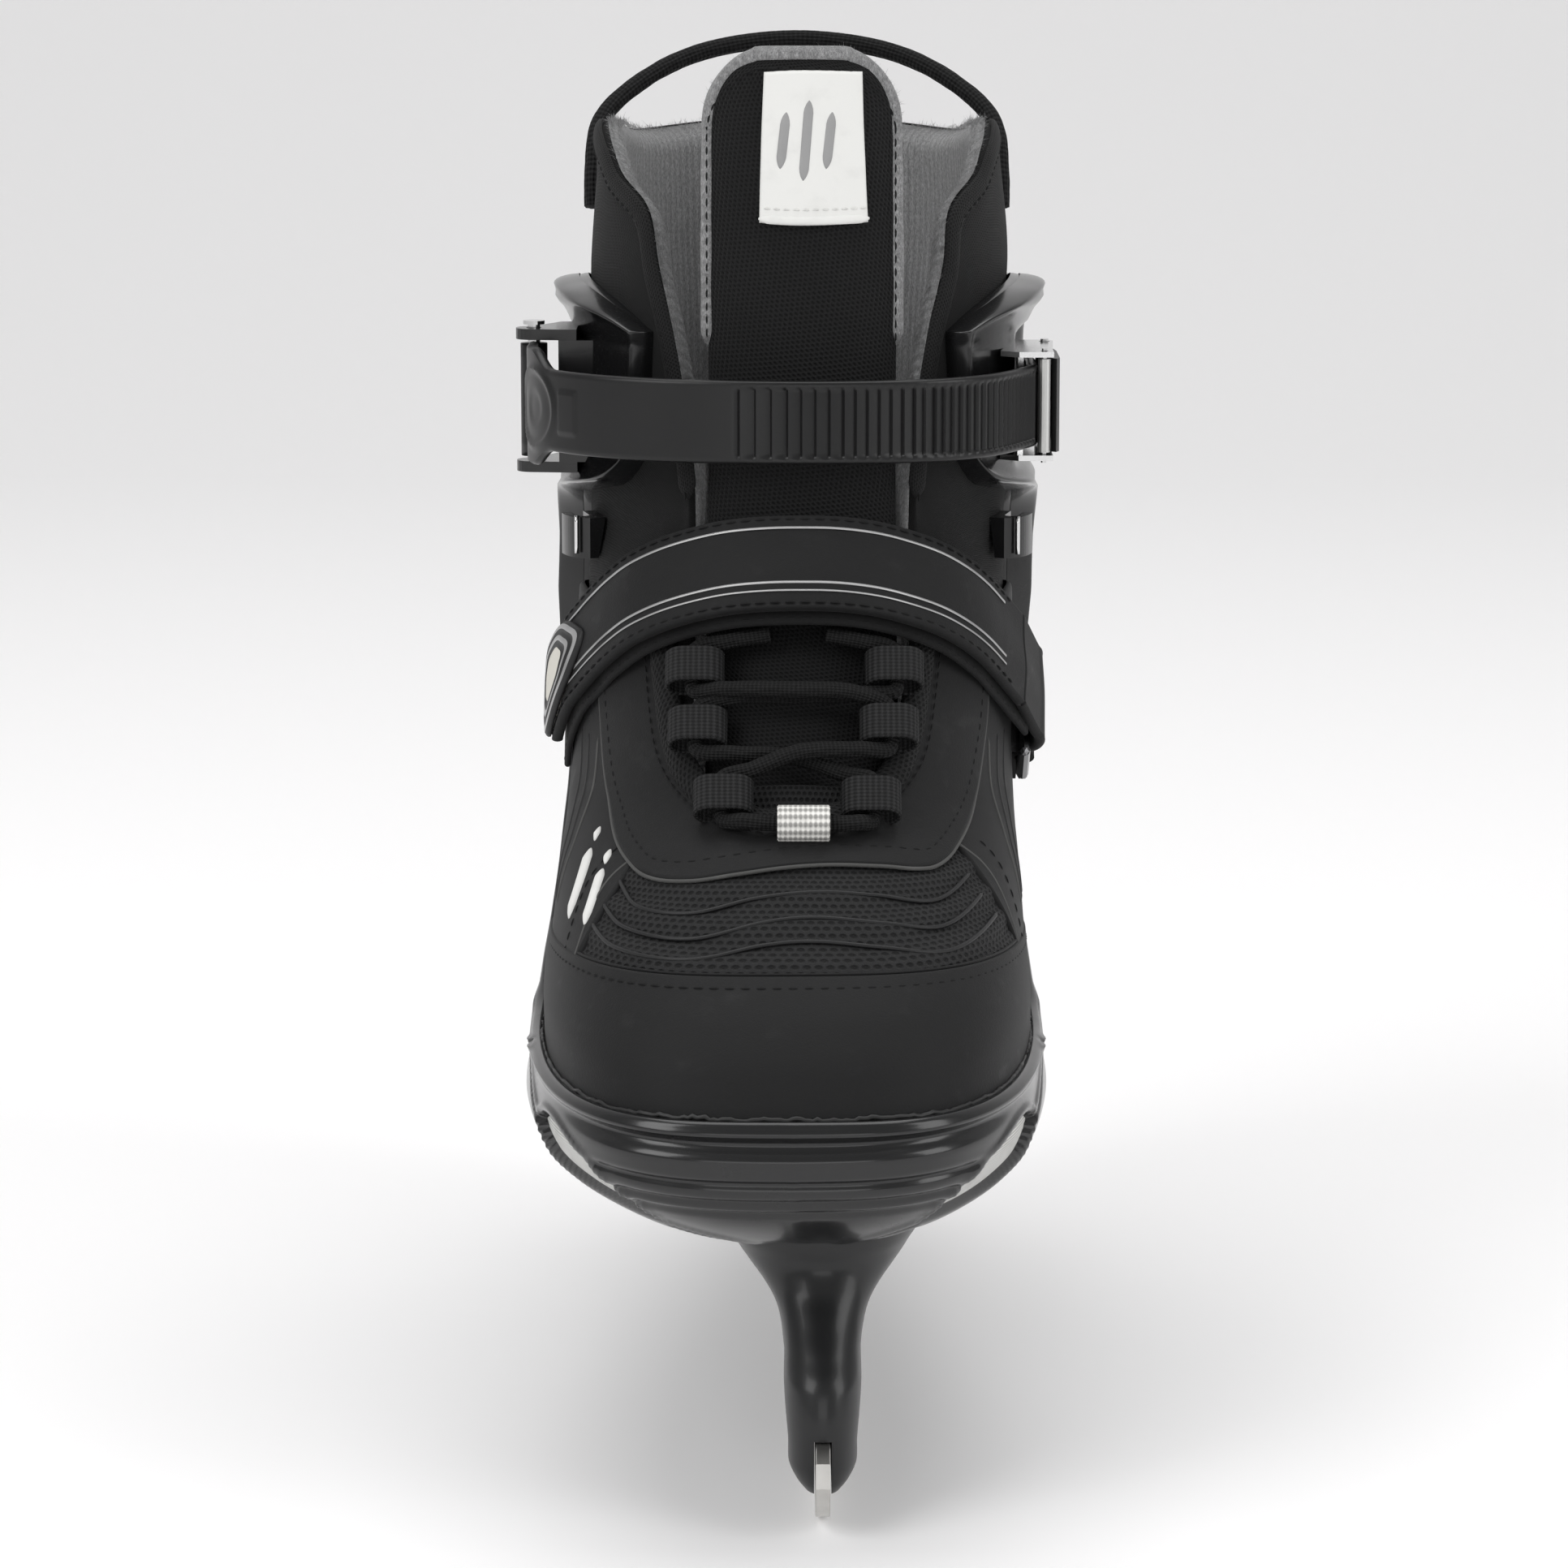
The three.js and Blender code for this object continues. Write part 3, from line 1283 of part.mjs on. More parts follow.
// The loop at the foot of the throat lies across it.
function footLoop() {
  const from = lacePoint(-9.5, 56, LOOP_RISE - 0.3);
  const to = lacePoint(1.7, 56, LOOP_RISE - 0.3);
  const hole = LACE_RADIUS + LOOP_CLEARANCE - 0.2;
  const past = new THREE.Vector3().subVectors(to, from).multiplyScalar(0.1);
  const outside = rod(from, to, hole + WEBBING_THICKNESS, 16);
  return outside.subtract(rod(from.clone().sub(past), to.clone().add(past), hole, 16));
}

place("lace", buildLace(), CORD);
for (const [name, x, up] of LACE_LOOPS) place(name, laceLoop(x, up), CORD);
place("lace_loop_foot", footLoop(), WHITE);

// ---------------------------------------------------------------- lace hooks

const HOOK_Y = -2;
const HOOK_Z = 191;
const HOOK_WIDTH = 9;
const HOOK_SLANT = 0.28;

// An open hook stands on the shaft and faces the heel.
function laceHook(side) {
  const centre = stationAt(BOOT_STATIONS, HOOK_Z)[5];
  const face = bootHalf(HOOK_Y, HOOK_Z);
  const shape = new THREE.Shape();
  shape.moveTo(-6, 0);
  shape.lineTo(6, -1.5);
  shape.lineTo(6, 2);
  shape.lineTo(-1.5, 2.4);
  shape.quadraticCurveTo(-3.5, 4, -1, 5.4);
  shape.lineTo(4.5, 5);
  shape.quadraticCurveTo(6.5, 6, 4, 7.4);
  shape.quadraticCurveTo(-5, 8, -6.4, 3.5);
  shape.closePath();
  const geometry = new THREE.ExtrudeGeometry(shape, { depth: HOOK_WIDTH, bevelEnabled: false });
  geometry.translate(0, 0, -HOOK_WIDTH / 2);
  const across = vec(side * Math.cos(HOOK_SLANT), -Math.sin(HOOK_SLANT), 0);
  const along = vec(-across.y * side, across.x * side, 0);
  const turn = new THREE.Matrix4().makeBasis(along, across, vec(0, 0, 1));
  geometry.applyMatrix4(turn);
  if (turn.determinant() < 0) flipFaces(geometry);
  geometry.translate(centre + side * (face - 0.4), HOOK_Y, HOOK_Z);
  return solid(geometry).subtract(bootForm(170, 230, GAP));
}

place("lace_hook_outer", laceHook(-1), PLASTIC);
place("lace_hook_inner", laceHook(1), PLASTIC);

// ---------------------------------------------------------------- pull loop

const PULL_ROOT_Y = 65;
const PULL_ROOT_Z = 267;

// The pull loop is a round cord sewn to both sides of the collar, arched over its back.
function buildPullLoop() {
  const middle = stationAt(BOOT_STATIONS, PULL_ROOT_Z)[5];
  const face = bootHalf(PULL_ROOT_Y - 6, PULL_ROOT_Z - 8);
  const half = face + PULL_CORD_RADIUS;
  const points = [
    vec(middle - half, PULL_ROOT_Y - 3, PULL_ROOT_Z - 8),
    vec(middle - half, PULL_ROOT_Y, PULL_ROOT_Z),
    vec(middle - half + 1.5, PULL_ROOT_Y + 7, PULL_ROOT_Z + 11),
    vec(middle - half + 11, PULL_ROOT_Y + 18, PULL_ROOT_Z + 20),
    vec(middle - half + 26, PULL_ROOT_Y + 30, PULL_ROOT_Z + 26.5),
    vec(middle, PULL_ROOT_Y + 36, PULL_ROOT_Z + 29),
    vec(middle + half - 26, PULL_ROOT_Y + 30, PULL_ROOT_Z + 26.5),
    vec(middle + half - 11, PULL_ROOT_Y + 18, PULL_ROOT_Z + 20),
    vec(middle + half - 1.5, PULL_ROOT_Y + 7, PULL_ROOT_Z + 11),
    vec(middle + half, PULL_ROOT_Y, PULL_ROOT_Z),
    vec(middle + half, PULL_ROOT_Y - 3, PULL_ROOT_Z - 8),
  ];
  return tube(points, PULL_CORD_RADIUS, 30, 8);
}

place("pull_loop", buildPullLoop(), CORD);

export default skate;
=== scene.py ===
import bmesh
import bpy
import numpy as np
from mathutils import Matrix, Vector


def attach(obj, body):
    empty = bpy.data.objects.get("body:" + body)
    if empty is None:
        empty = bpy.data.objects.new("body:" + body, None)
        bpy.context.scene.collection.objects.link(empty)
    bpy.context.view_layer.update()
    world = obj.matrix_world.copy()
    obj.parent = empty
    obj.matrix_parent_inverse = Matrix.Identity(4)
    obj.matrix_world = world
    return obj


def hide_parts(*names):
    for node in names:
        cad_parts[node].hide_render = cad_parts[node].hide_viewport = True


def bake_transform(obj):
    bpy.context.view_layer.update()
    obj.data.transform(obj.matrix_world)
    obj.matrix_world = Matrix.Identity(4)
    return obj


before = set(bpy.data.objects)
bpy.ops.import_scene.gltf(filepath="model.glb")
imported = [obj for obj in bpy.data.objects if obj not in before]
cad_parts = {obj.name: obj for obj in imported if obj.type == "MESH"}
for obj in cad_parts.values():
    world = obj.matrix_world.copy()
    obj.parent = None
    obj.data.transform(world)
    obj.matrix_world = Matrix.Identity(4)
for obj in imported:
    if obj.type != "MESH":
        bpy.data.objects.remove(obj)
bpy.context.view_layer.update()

# ---------------------------------------------------------------- the boot's form
# Every sewn and moulded piece of the boot follows one last. The last is a stack of outlines,
# smooth from one height to the next, and pieces are laid on it by direction and height.

MM = 0.001

# Height, toe end, heel end, half width at the ball and at the heel, centre line, toe squareness.
LAST = np.array(
    [
        [60, -138, 127, 45, 33, -7.3, 3.2],
        [77, -138.5, 127, 45, 33, -7.3, 3.2],
        [84, -145, 134, 50, 36.5, -7.5, 3.4],
        [92, -146.5, 136, 51.5, 38, -7.5, 3.4],
        [100, -144, 136, 51.5, 38.5, -7.5, 3.4],
        [109, -137, 134.5, 51, 39, -7.3, 3.3],
        [116, -128, 133, 50.5, 39.5, -7, 3.2],
        [125, -112, 130.5, 50, 40, -6.8, 3],
        [133, -97, 128, 49.5, 41, -6.5, 2.7],
        [142, -82, 125, 49.5, 42.5, -6.2, 2.4],
        [158, -69, 120, 49.5, 44, -5.8, 2.3],
        [175, -55.5, 115, 49, 44.5, -5.4, 2.25],
        [195, -45.5, 110, 48, 44.5, -5, 2.2],
        [215, -40, 107, 47, 44.5, -4.6, 2.2],
        [235, -36.5, 105, 47.5, 45, -4.5, 2.2],
        [250, -34, 104, 48.5, 46, -4.5, 2.2],
        [272, -31, 103, 46.5, 45, -5, 2.2],
        [286, -29, 103, 43.5, 43, -5.2, 2.2],
        [310, -26, 103, 40, 40, -5.2, 2.2],
    ]
)
HEEL_SQUARENESS = 2.4


def through(xs, ys, x):
    """The smooth curve through a table, without overshoot."""
    xs, ys = np.asarray(xs, float), np.asarray(ys, float)
    step = np.diff(xs)
    rise = np.diff(ys) / step
    slope = np.zeros_like(ys)
    same = rise[:-1] * rise[1:] > 0
    one, two = 2 * step[1:] + step[:-1], step[1:] + 2 * step[:-1]
    low, high = np.where(same, rise[:-1], 1), np.where(same, rise[1:], 1)
    slope[1:-1] = np.where(same, (one + two) / (one / low + two / high), 0)
    slope[0], slope[-1] = rise[0], rise[-1]
    i = np.clip(np.searchsorted(xs, x) - 1, 0, len(xs) - 2)
    t = np.clip((x - xs[i]) / step[i], 0, 1)
    start = (1 + 2 * t) * (1 - t) ** 2 * ys[i] + t * (1 - t) ** 2 * step[i] * slope[i]
    return start + t * t * (3 - 2 * t) * ys[i + 1] + t * t * (t - 1) * step[i] * slope[i + 1]


def ease(x, low, high):
    t = np.clip((x - low) / (high - low), 0, 1)
    return t * t * (3 - 2 * t)


def levels(z, table):
    """The table's values at heights z."""
    return [through(table[:, 0], table[:, k], z) for k in range(1, 7)]


def width_at(along, ball, heel_half):
    return ball + (heel_half - ball) * ease(along, -0.5, 0.75)


def form(turn, z, grow=0.0, table=LAST):
    """Points on the form, by direction round it (0 toe, positive inner side) and height."""
    turn, z, grow = (np.array(v, float) for v in np.broadcast_arrays(turn, z, grow))
    toe, heel, ball, heel_half, centre, power = levels(z, table)
    middle, half = (toe + heel) / 2, (heel - toe) / 2 + grow
    c, s = np.cos(turn), np.sin(turn)
    reach = half.copy()
    for _ in range(12):
        along = np.clip(-reach * c / half, -1, 1)
        width = width_at(along, ball, heel_half) + grow
        p = np.where(along < 0, power, HEEL_SQUARENESS)
        reach = (reach + ((np.abs(s) / width) ** p + (np.abs(c) / half) ** p) ** (-1 / p)) / 2
    return np.stack([centre + reach * s, middle - reach * c, z], -1)


def unit(v):
    return v / np.maximum(np.linalg.norm(v, axis=-1, keepdims=True), 1e-9)


def outward(turn, z, grow=0.0, table=LAST):
    """The direction straight out of the form."""
    side = form(turn + 0.004, z, grow, table) - form(turn - 0.004, z, grow, table)
    up = form(turn, z + 0.5, grow, table) - form(turn, z - 0.5, grow, table)
    return unit(np.cross(side, up))


def skin(turn, z, out=0.0, grow=0.0, table=LAST):
    """Points standing straight off the form by out."""
    turn, z = (np.array(v, float) for v in np.broadcast_arrays(turn, z))
    off = np.asarray(out, float)[..., None] * outward(turn, z, grow, table)
    return form(turn, z, grow, table) + off


def front(x, z):
    """The direction of the point on the front face at a place across and a height."""
    x, z = (np.array(v, float) for v in np.broadcast_arrays(x, z))
    toe, heel, ball, heel_half, centre, power = levels(z, LAST)
    along = -np.ones_like(x)
    for _ in range(12):
        share = np.minimum(np.abs(x - centre) / width_at(along, ball, heel_half), 0.999)
        along = -((1 - share**power) ** (1 / power))
    return np.arctan2(x - centre, -along * (heel - toe) / 2)


def beside(y, z, side, table=LAST):
    """The direction of the point on one side at a place along and a height."""
    y, z = (np.array(v, float) for v in np.broadcast_arrays(y, z))
    toe, heel, ball, heel_half, _, power = levels(z, table)
    half = (heel - toe) / 2
    along = np.clip((y - (toe + heel) / 2) / half, -0.999, 0.999)
    p = np.where(along < 0, power, HEEL_SQUARENESS)
    x = width_at(along, ball, heel_half) * (1 - np.abs(along) ** p) ** (1 / p)
    return np.arctan2(side * x, -along * half)


def spline(points, count, scale=None):
    """A smooth curve through points, cut into even steps."""
    p = np.asarray(points, float)
    scale = np.ones(p.shape[1]) if scale is None else np.asarray(scale, float)
    ends = np.vstack([2 * p[0] - p[1], p, 2 * p[-1] - p[-2]])
    runs = []
    for a, b, c, d in zip(ends[:-3], ends[1:-2], ends[2:-1], ends[3:]):
        t = np.linspace(0, 1, 24, endpoint=False)[:, None]
        bend = (2 * a - 5 * b + 4 * c - d) * t**2 + (3 * b - a - 3 * c + d) * t**3
        runs.append(0.5 * (2 * b + (c - a) * t + bend))
    dense = np.vstack([*runs, p[-1:]])
    far = np.linalg.norm(np.diff(dense * scale, axis=0), axis=1)
    run = np.concatenate([[0], np.cumsum(far)])
    at = np.linspace(0, run[-1], count)
    return np.stack([np.interp(at, run, dense[:, k]) for k in range(p.shape[1])], 1)


def lengths(steps):
    return np.concatenate([[0], np.cumsum(steps)]) * MM


def grid(name, points, ring=False, across=False):
    """A mesh from rows of points. ring joins the last row to the first, across the last column.
    Its texture map measures the surface in metres."""
    n, m = points.shape[:2]
    rows = np.vstack([points, points[:1]]) if ring else points
    rows = np.concatenate([rows, rows[:, :1]], 1) if across else rows
    u = lengths(np.linalg.norm(np.diff(rows, axis=0), axis=2).mean(1))
    v = lengths(np.linalg.norm(np.diff(rows, axis=1), axis=2).mean(0))
    at = np.arange(n * m).reshape(n, m)
    at = np.vstack([at, at[:1]]) if ring else at
    at = np.concatenate([at, at[:, :1]], 1) if across else at
    quads = np.stack([at[:-1, :-1], at[1:, :-1], at[1:, 1:], at[:-1, 1:]], -1).reshape(-1, 4)
    mesh = bpy.data.meshes.new(name)
    mesh.from_pydata((points.reshape(-1, 3) * MM).tolist(), [], quads.tolist())
    i, j = np.meshgrid(np.arange(len(u) - 1), np.arange(len(v) - 1), indexing="ij")
    corners = [(i, j), (i + 1, j), (i + 1, j + 1), (i, j + 1)]
    uv = np.stack([np.stack([u[a], v[b]], -1) for a, b in corners], 2).reshape(-1, 2)
    mesh.uv_layers.new(name="UVMap").data.foreach_set("uv", uv.ravel())
    return shown(name, mesh)


def shown(name, mesh):
    """The mesh as an object in the scene, smooth shaded."""
    mesh.shade_smooth()
    obj = bpy.data.objects.new(name, mesh)
    bpy.context.scene.collection.objects.link(obj)
    return obj


def edit(obj, change):
    """Runs a change on the object's mesh in bmesh."""
    bm = bmesh.new()
    bm.from_mesh(obj.data)
    change(bm)
    bm.to_mesh(obj.data)
    bm.free()
    return obj


def face_out(bm):
    bmesh.ops.recalc_face_normals(bm, faces=bm.faces)


def cap(bm):
    """Closes the mesh's open ends."""
    bmesh.ops.holes_fill(bm, edges=[e for e in bm.edges if e.is_boundary], sides=0)
    face_out(bm)


def sharp(obj, angle=40):
    """Keeps edges sharper than the angle crisp."""
    obj.data.set_sharp_from_angle(angle=np.radians(angle))
    return obj


def flip(obj):
    return edit(obj, lambda bm: bmesh.ops.reverse_faces(bm, faces=bm.faces))


def joined(name, parts):
    """One object from several, with the first one's finish."""
    base = parts[0]
    with bpy.context.temp_override(
        active_object=base, object=base, selected_objects=parts, selected_editable_objects=parts
    ):
        bpy.ops.object.join()
    base.name = name
    return base


def link(tree, kind, sockets=(), **settings):
    """Adds a shader node. A socket's value is a number, a colour or another node's output."""
    made = tree.nodes.new(kind)
    for key, value in settings.items():
        setattr(made, key, value)
    for key, value in dict(sockets).items():
        socket = made.inputs[key]
        if isinstance(value, bpy.types.NodeSocket):
            tree.links.new(value, socket)
        else:
            socket.default_value = value
    return made


def maths(tree, operation, *values):
    made = link(tree, "ShaderNodeMath", enumerate(values), operation=operation)
    return made.outputs[0]


def ramp(tree, value, low, high, start=0.0, end=1.0):
    """The value carried from one range to another, smoothly and with ends held."""
    made = link(
        tree,
        "ShaderNodeMapRange",
        {"Value": value, "From Min": low, "From Max": high, "To Min": start, "To Max": end},
        interpolation_type="SMOOTHSTEP",
    )
    return made.outputs["Result"]


def noise(tree, where, size, detail=3.0, rough=0.55, stretch=(1, 1, 1)):
    """Noise whose blotches are about size metres across."""
    scaled = link(tree, "ShaderNodeMapping", {"Vector": where, "Scale": stretch})
    made = link(
        tree,
        "ShaderNodeTexNoise",
        {"Vector": scaled.outputs[0], "Scale": 1 / size, "Detail": detail, "Roughness": rough},
    )
    return made.outputs["Fac"]


def mixed(tree, share, one, two):
    made = link(tree, "ShaderNodeMix", data_type="RGBA")
    for socket, value in ((made.inputs[0], share), (made.inputs[6], one), (made.inputs[7], two)):
        if isinstance(value, bpy.types.NodeSocket):
            tree.links.new(value, socket)
        else:
            socket.default_value = (*value, 1) if isinstance(value, tuple) else value
    return made.outputs[2]


def bump(tree, height, strength, depth):
    """Surface relief, depth in metres."""
    made = link(
        tree, "ShaderNodeBump", {"Height": height, "Strength": strength, "Distance": depth}
    )
    return made


def finish(name, colour, roughness, **sockets):
    """A material and its tree, shader and places. Extra sockets are set on the shader."""
    made = bpy.data.materials.new(name)
    made.use_nodes = True
    tree = made.node_tree
    shader = tree.nodes["Principled BSDF"]
    shader.inputs["Base Color"].default_value = (*colour, 1)
    shader.inputs["Roughness"].default_value = roughness
    shader.inputs["Specular IOR Level"].default_value = 0.34
    for key, value in sockets.items():
        shader.inputs[key.replace("_", " ")].default_value = value
    places = link(tree, "ShaderNodeTexCoord")
    return made, tree, shader, places.outputs["Object"], places.outputs["UV"]


def wire(tree, shader, **outputs):
    for key, value in outputs.items():
        tree.links.new(value, shader.inputs[key.replace("_", " ")])


def plastic(name, colour, roughness, coat=0.0, wear=1.0):
    """Moulded plastic: slight ripple, fingered patches of sheen and fine scuffs."""
    made, tree, shader, place, _ = finish(name, colour, roughness, Coat_Weight=coat)
    shader.inputs["Coat Roughness"].default_value = 0.12
    patches = noise(tree, place, 0.018, 4)
    scuffs = noise(tree, place, 0.0011, 6, 0.7, (1, 1, 6))
    marks = ramp(tree, scuffs, 0.62, 0.74)
    rough = maths(tree, "MULTIPLY_ADD", patches, 0.16 * wear, roughness - 0.07 * wear)
    rough = maths(tree, "MULTIPLY_ADD", marks, 0.12 * wear, rough)
    shade = tuple(min(1.0, c * 1.9 + 0.004) for c in colour)
    tone = mixed(tree, maths(tree, "MULTIPLY", marks, 0.35 * wear), colour, shade)
    ripple = maths(tree, "MULTIPLY_ADD", noise(tree, place, 0.0005, 2), 0.12, noise(tree, place, 0.009, 2))
    relief = bump(tree, ripple, 0.25, 0.00022)
    wire(tree, shader, Base_Color=tone, Roughness=rough, Normal=relief.outputs[0])
    return made


# ---------------------------------------------------------------- toe and side shell
# The shell: one black gloss moulding that cups the sole and toe and rises to the ankle rivets.
# Its toe has stepped ridges, a parting line in the middle and a leaf-shaped vent each side.
# The boot is bonded inside it, with a ragged line of adhesive at the rim.

SHELL_GROW = 4.1
SHELL = np.array(
    [
        [52, -110, 109, 20, 17, -4, 2.4],
        [60, -117, 116, 27, 22, -4, 2.4],
        [62.5, -128, 126, 38, 30, -5, 2.6],
        [66.5, -137, 134, 46.5, 35.5, -6, 2.8],
        [71.5, -144.5, 140, 52.5, 39.5, -6.8, 3],
        [77, -149.5, 144, 56, 42, -7.3, 3.2],
        [82, -151, 145, 57, 42.6, -7.5, 3.3],
        [88, -150.5, 144.5, 56, 42.4, -7.5, 3.4],
    ]
    + [
        [z, toe - SHELL_GROW, heel + SHELL_GROW, ball + SHELL_GROW, rear + SHELL_GROW, mid, square]
        for z, toe, heel, ball, rear, mid, square in LAST
        if z > 90
    ]
)
RIM = [
    (-149, 92.6),
    (-120, 92.4),
    (-90, 92.4),
    (-62, 93),
    (-44, 96),
    (-24, 105),
    (-8, 116.5),
    (12, 131),
    (32, 145),
    (45, 157),
    (54, 168.5),
    (65, 173),
    (77, 168.5),
    (87, 157),
    (101, 149),
    (122, 146.5),
    (140, 146),
]
VENT_LENGTH = 36
VENT_MIDDLE = (-126, 76.5)
# Height, depth and width of each step across the middle of the toe.
RIDGES = ((88.4, 1.1, 1.6), (80.4, 1.0, 1.1), (76.2, 0.9, 0.9), (73.4, 0.8, 0.8))


def rim_height(turn):
    """The height of the shell's rim, by direction."""
    y, z = spline(RIM, 240).T
    at = beside(y, z, 1, SHELL)
    order = np.argsort(at)
    return np.interp(np.abs(turn), at[order], z[order])


def leaf(turn, z):
    """How far inside a vent's outline a point lies, in mm, on either side of the toe."""
    middle = beside(*VENT_MIDDLE, 1, SHELL)
    radius = np.hypot(*(form(middle, VENT_MIDDLE[1], 0, SHELL)[:2] - (-7.5, -3)))
    along = (np.abs(turn) - middle) * radius
    rise = z - VENT_MIDDLE[1] - 0.42 * along
    share = np.clip(along / (VENT_LENGTH / 2), -1, 1)
    half = 6.4 * (1 - share**2) ** 0.8 * (1 + 0.25 * share)
    return half - np.abs(rise + 1.2 * share**2)


def ridges(turn, z):
    """The moulded steps across the toe, which curve up to the vents like a smile."""
    lift = 12 * np.abs(turn) ** 1.9
    fade = 1 - ease(np.abs(turn), 0.2, 0.42)
    out = 0.0
    for height, depth, width in RIDGES:
        out = out - depth * np.exp(-(((z - height - lift) / width) ** 2)) * fade
    out = out + 0.9 * np.exp(-(((z - 85.6 - lift) / 2.4) ** 2)) * fade
    lip = 0.7 * np.exp(-(((z - 90.9 - 0.4 * lift) / 1.0) ** 2)) * (1 - ease(np.abs(turn), 0.9, 1.4))
    return out + lip


def parting(turn):
    """The fine raised line where the mould's halves met, on the toe and the heel."""
    middle = np.minimum(np.abs(turn - 0.008), np.abs(np.abs(turn) - np.pi))
    return 0.16 * np.exp(-((middle / 0.0035) ** 2))


def shell_points():
    turns = np.linspace(-np.pi, np.pi, 620, endpoint=False)
    rim = rim_height(turns)
    rings = []
    bottom = form(turns, 60, 0, SHELL)
    middle = np.array([-4.0, -0.5, 60.0])
    rings.extend(middle + (bottom - middle) * share for share in (0.02, 0.3, 0.6, 0.85, 0.95))
    for share in np.linspace(0, 1, 110) ** 1.15:
        z = 60 + (rim - 60) * share
        dent = -2.6 * ease(leaf(turns, z), -0.5, 0.9)
        edge = 0.55 * np.exp(-(((leaf(turns, z) + 1.3) / 0.9) ** 2))
        out = dent + edge + ridges(turns, z) + parting(turns)
        rings.append(skin(turns, z, out, 0, SHELL))
    thick = 3.0
    for angle in np.linspace(0.25, 1, 5) * np.pi:
        back = thick / 2 * (1 - np.cos(angle))
        rings.append(skin(turns, rim + 1.1 * np.sin(angle), -back, 0, SHELL))
    for share in np.linspace(0.06, 1, 14):
        z = rim + (84 - rim) * share
        rings.append(skin(turns, z, -thick, 0, SHELL))
    return np.stack(rings, 1)


gloss_black = plastic("gloss_black_plastic", (0.0085, 0.0086, 0.009), 0.24, coat=0.35)
shell = grid("shell", shell_points(), ring=True)
edit(shell, cap)
shell.data.materials.append(gloss_black)
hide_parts("base_shell")
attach(shell, "boot")
# ---------------------------------------------------------------- vent cloth
# White open cloth behind each toe vent, bonded to the shell from inside.


def leaf_cloth(side):
    turns = side * np.linspace(0.08, 0.85, 90)
    z = np.linspace(66, 92, 50)
    turn, height = np.meshgrid(turns, z, indexing="ij")
    points = skin(turn, height, -1.9, 0, SHELL)
    cloth = grid("vent_cloth", points)
    edit(cloth, lambda bm: trim_leaf(bm))
    return cloth


def trim_leaf(bm):
    away = []
    for v in bm.verts:
        x, y, z = (c / MM for c in v.co)
        turn = np.arctan2(x + 7.5, -(y + 3))
        if leaf(np.array(turn), np.array(z)) < -0.4:
            away.append(v)
    bmesh.ops.delete(bm, geom=away, context="VERTS")


def open_weave(name, colour, pitch):
    """Cloth of crossing threads, with open holes between them."""
    made, tree, shader, place, uv = finish(name, colour, 0.8)
    split = link(tree, "ShaderNodeSeparateXYZ", {0: uv})
    turnings = 2 * np.pi / pitch
    warp = maths(tree, "SINE", maths(tree, "MULTIPLY", split.outputs[0], turnings))
    weft = maths(tree, "SINE", maths(tree, "MULTIPLY", split.outputs[1], turnings))
    thread = maths(tree, "MAXIMUM", maths(tree, "ABSOLUTE", warp), maths(tree, "ABSOLUTE", weft))
    solid = ramp(tree, thread, 0.55, 0.9)
    grime = noise(tree, place, 0.004)
    dark = tuple(c * 0.22 for c in colour)
    tone = mixed(tree, maths(tree, "MULTIPLY", solid, ramp(tree, grime, 0.2, 0.6, 0.75, 1)), dark, colour)
    wire(tree, shader, Base_Color=tone, Normal=bump(tree, solid, 0.8, 0.0003).outputs[0])
    return made


vent_white = open_weave("white_vent_cloth", (0.72, 0.72, 0.7), 0.0013)
for side, node in ((-1, "vent_mesh_outer"), (1, "vent_mesh_inner")):
    cloth = leaf_cloth(side)
    cloth.name = f"{node}_cloth"
    cloth.data.materials.append(vent_white)
    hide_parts(node)
    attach(cloth, "boot")

# ---------------------------------------------------------------- blade holder
# The holder: one glass-filled plastic moulding that bolts under the shell and grips the blade.
# Its pillars are scooped on both flanks and joined by a rail, with a window between them.

HOLDER = np.array(
    [
        [8, 3.6, -125, 127],
        [10, 5.4, -126.5, 128.5],
        [14, 7.3, -128, 130],
        [22, 8.2, -128.5, 130],
        [30, 9.0, -127, 129],
        [36, 9.4, -122.5, 126.5],
        [42, 11.2, -117.5, 123],
        [48, 15.2, -113.5, 121],
        [53, 18.6, -112, 120],
        [56, 20.8, -112.6, 120],
        [60.5, 21.4, -113, 120],
    ]
)
WINDOW_HALF = 46
WINDOW_LOW = 30


def holder_points():
    rings = []
    for z in np.concatenate([[8, 8.6, 9.3], np.linspace(10, 55.2, 58), [56, 57, 59, 60, 60.5]]):
        half, toe, heel = (float(through(HOLDER[:, 0], HOLDER[:, k], z)) for k in (1, 2, 3))
        nose = half * 1.5
        arc = np.linspace(0, np.pi, 26)
        line = np.linspace(heel - nose, toe + nose, 92)[1:-1]
        y = np.concatenate([heel - nose + nose * np.sin(arc), line, toe + nose - nose * np.sin(arc)])
        x = np.concatenate([half * np.cos(arc), np.full(90, -half), -half * np.cos(arc)])
        y, x = np.concatenate([y, line[::-1]]), np.concatenate([x, np.full(90, half)])
        deep = ease(z, 12, 19) * (1 - ease(z, 44, 53))
        near = np.exp(-(((np.abs(y) - 96) / 19) ** 2))
        rail = 0.8 * np.exp(-(((z - 25) / 3) ** 2)) * (np.abs(y) < 60)
        scoop = (2.6 * near * deep + rail) * np.minimum(1, np.abs(x) / half) ** 4
        seam = 0.18 * np.exp(-((x / 0.35) ** 2)) * np.sign(y)
        rings.append(np.stack([x - np.sign(x) * scoop, y + seam, np.full_like(x, z)], 1))
    return np.stack(rings, 1)


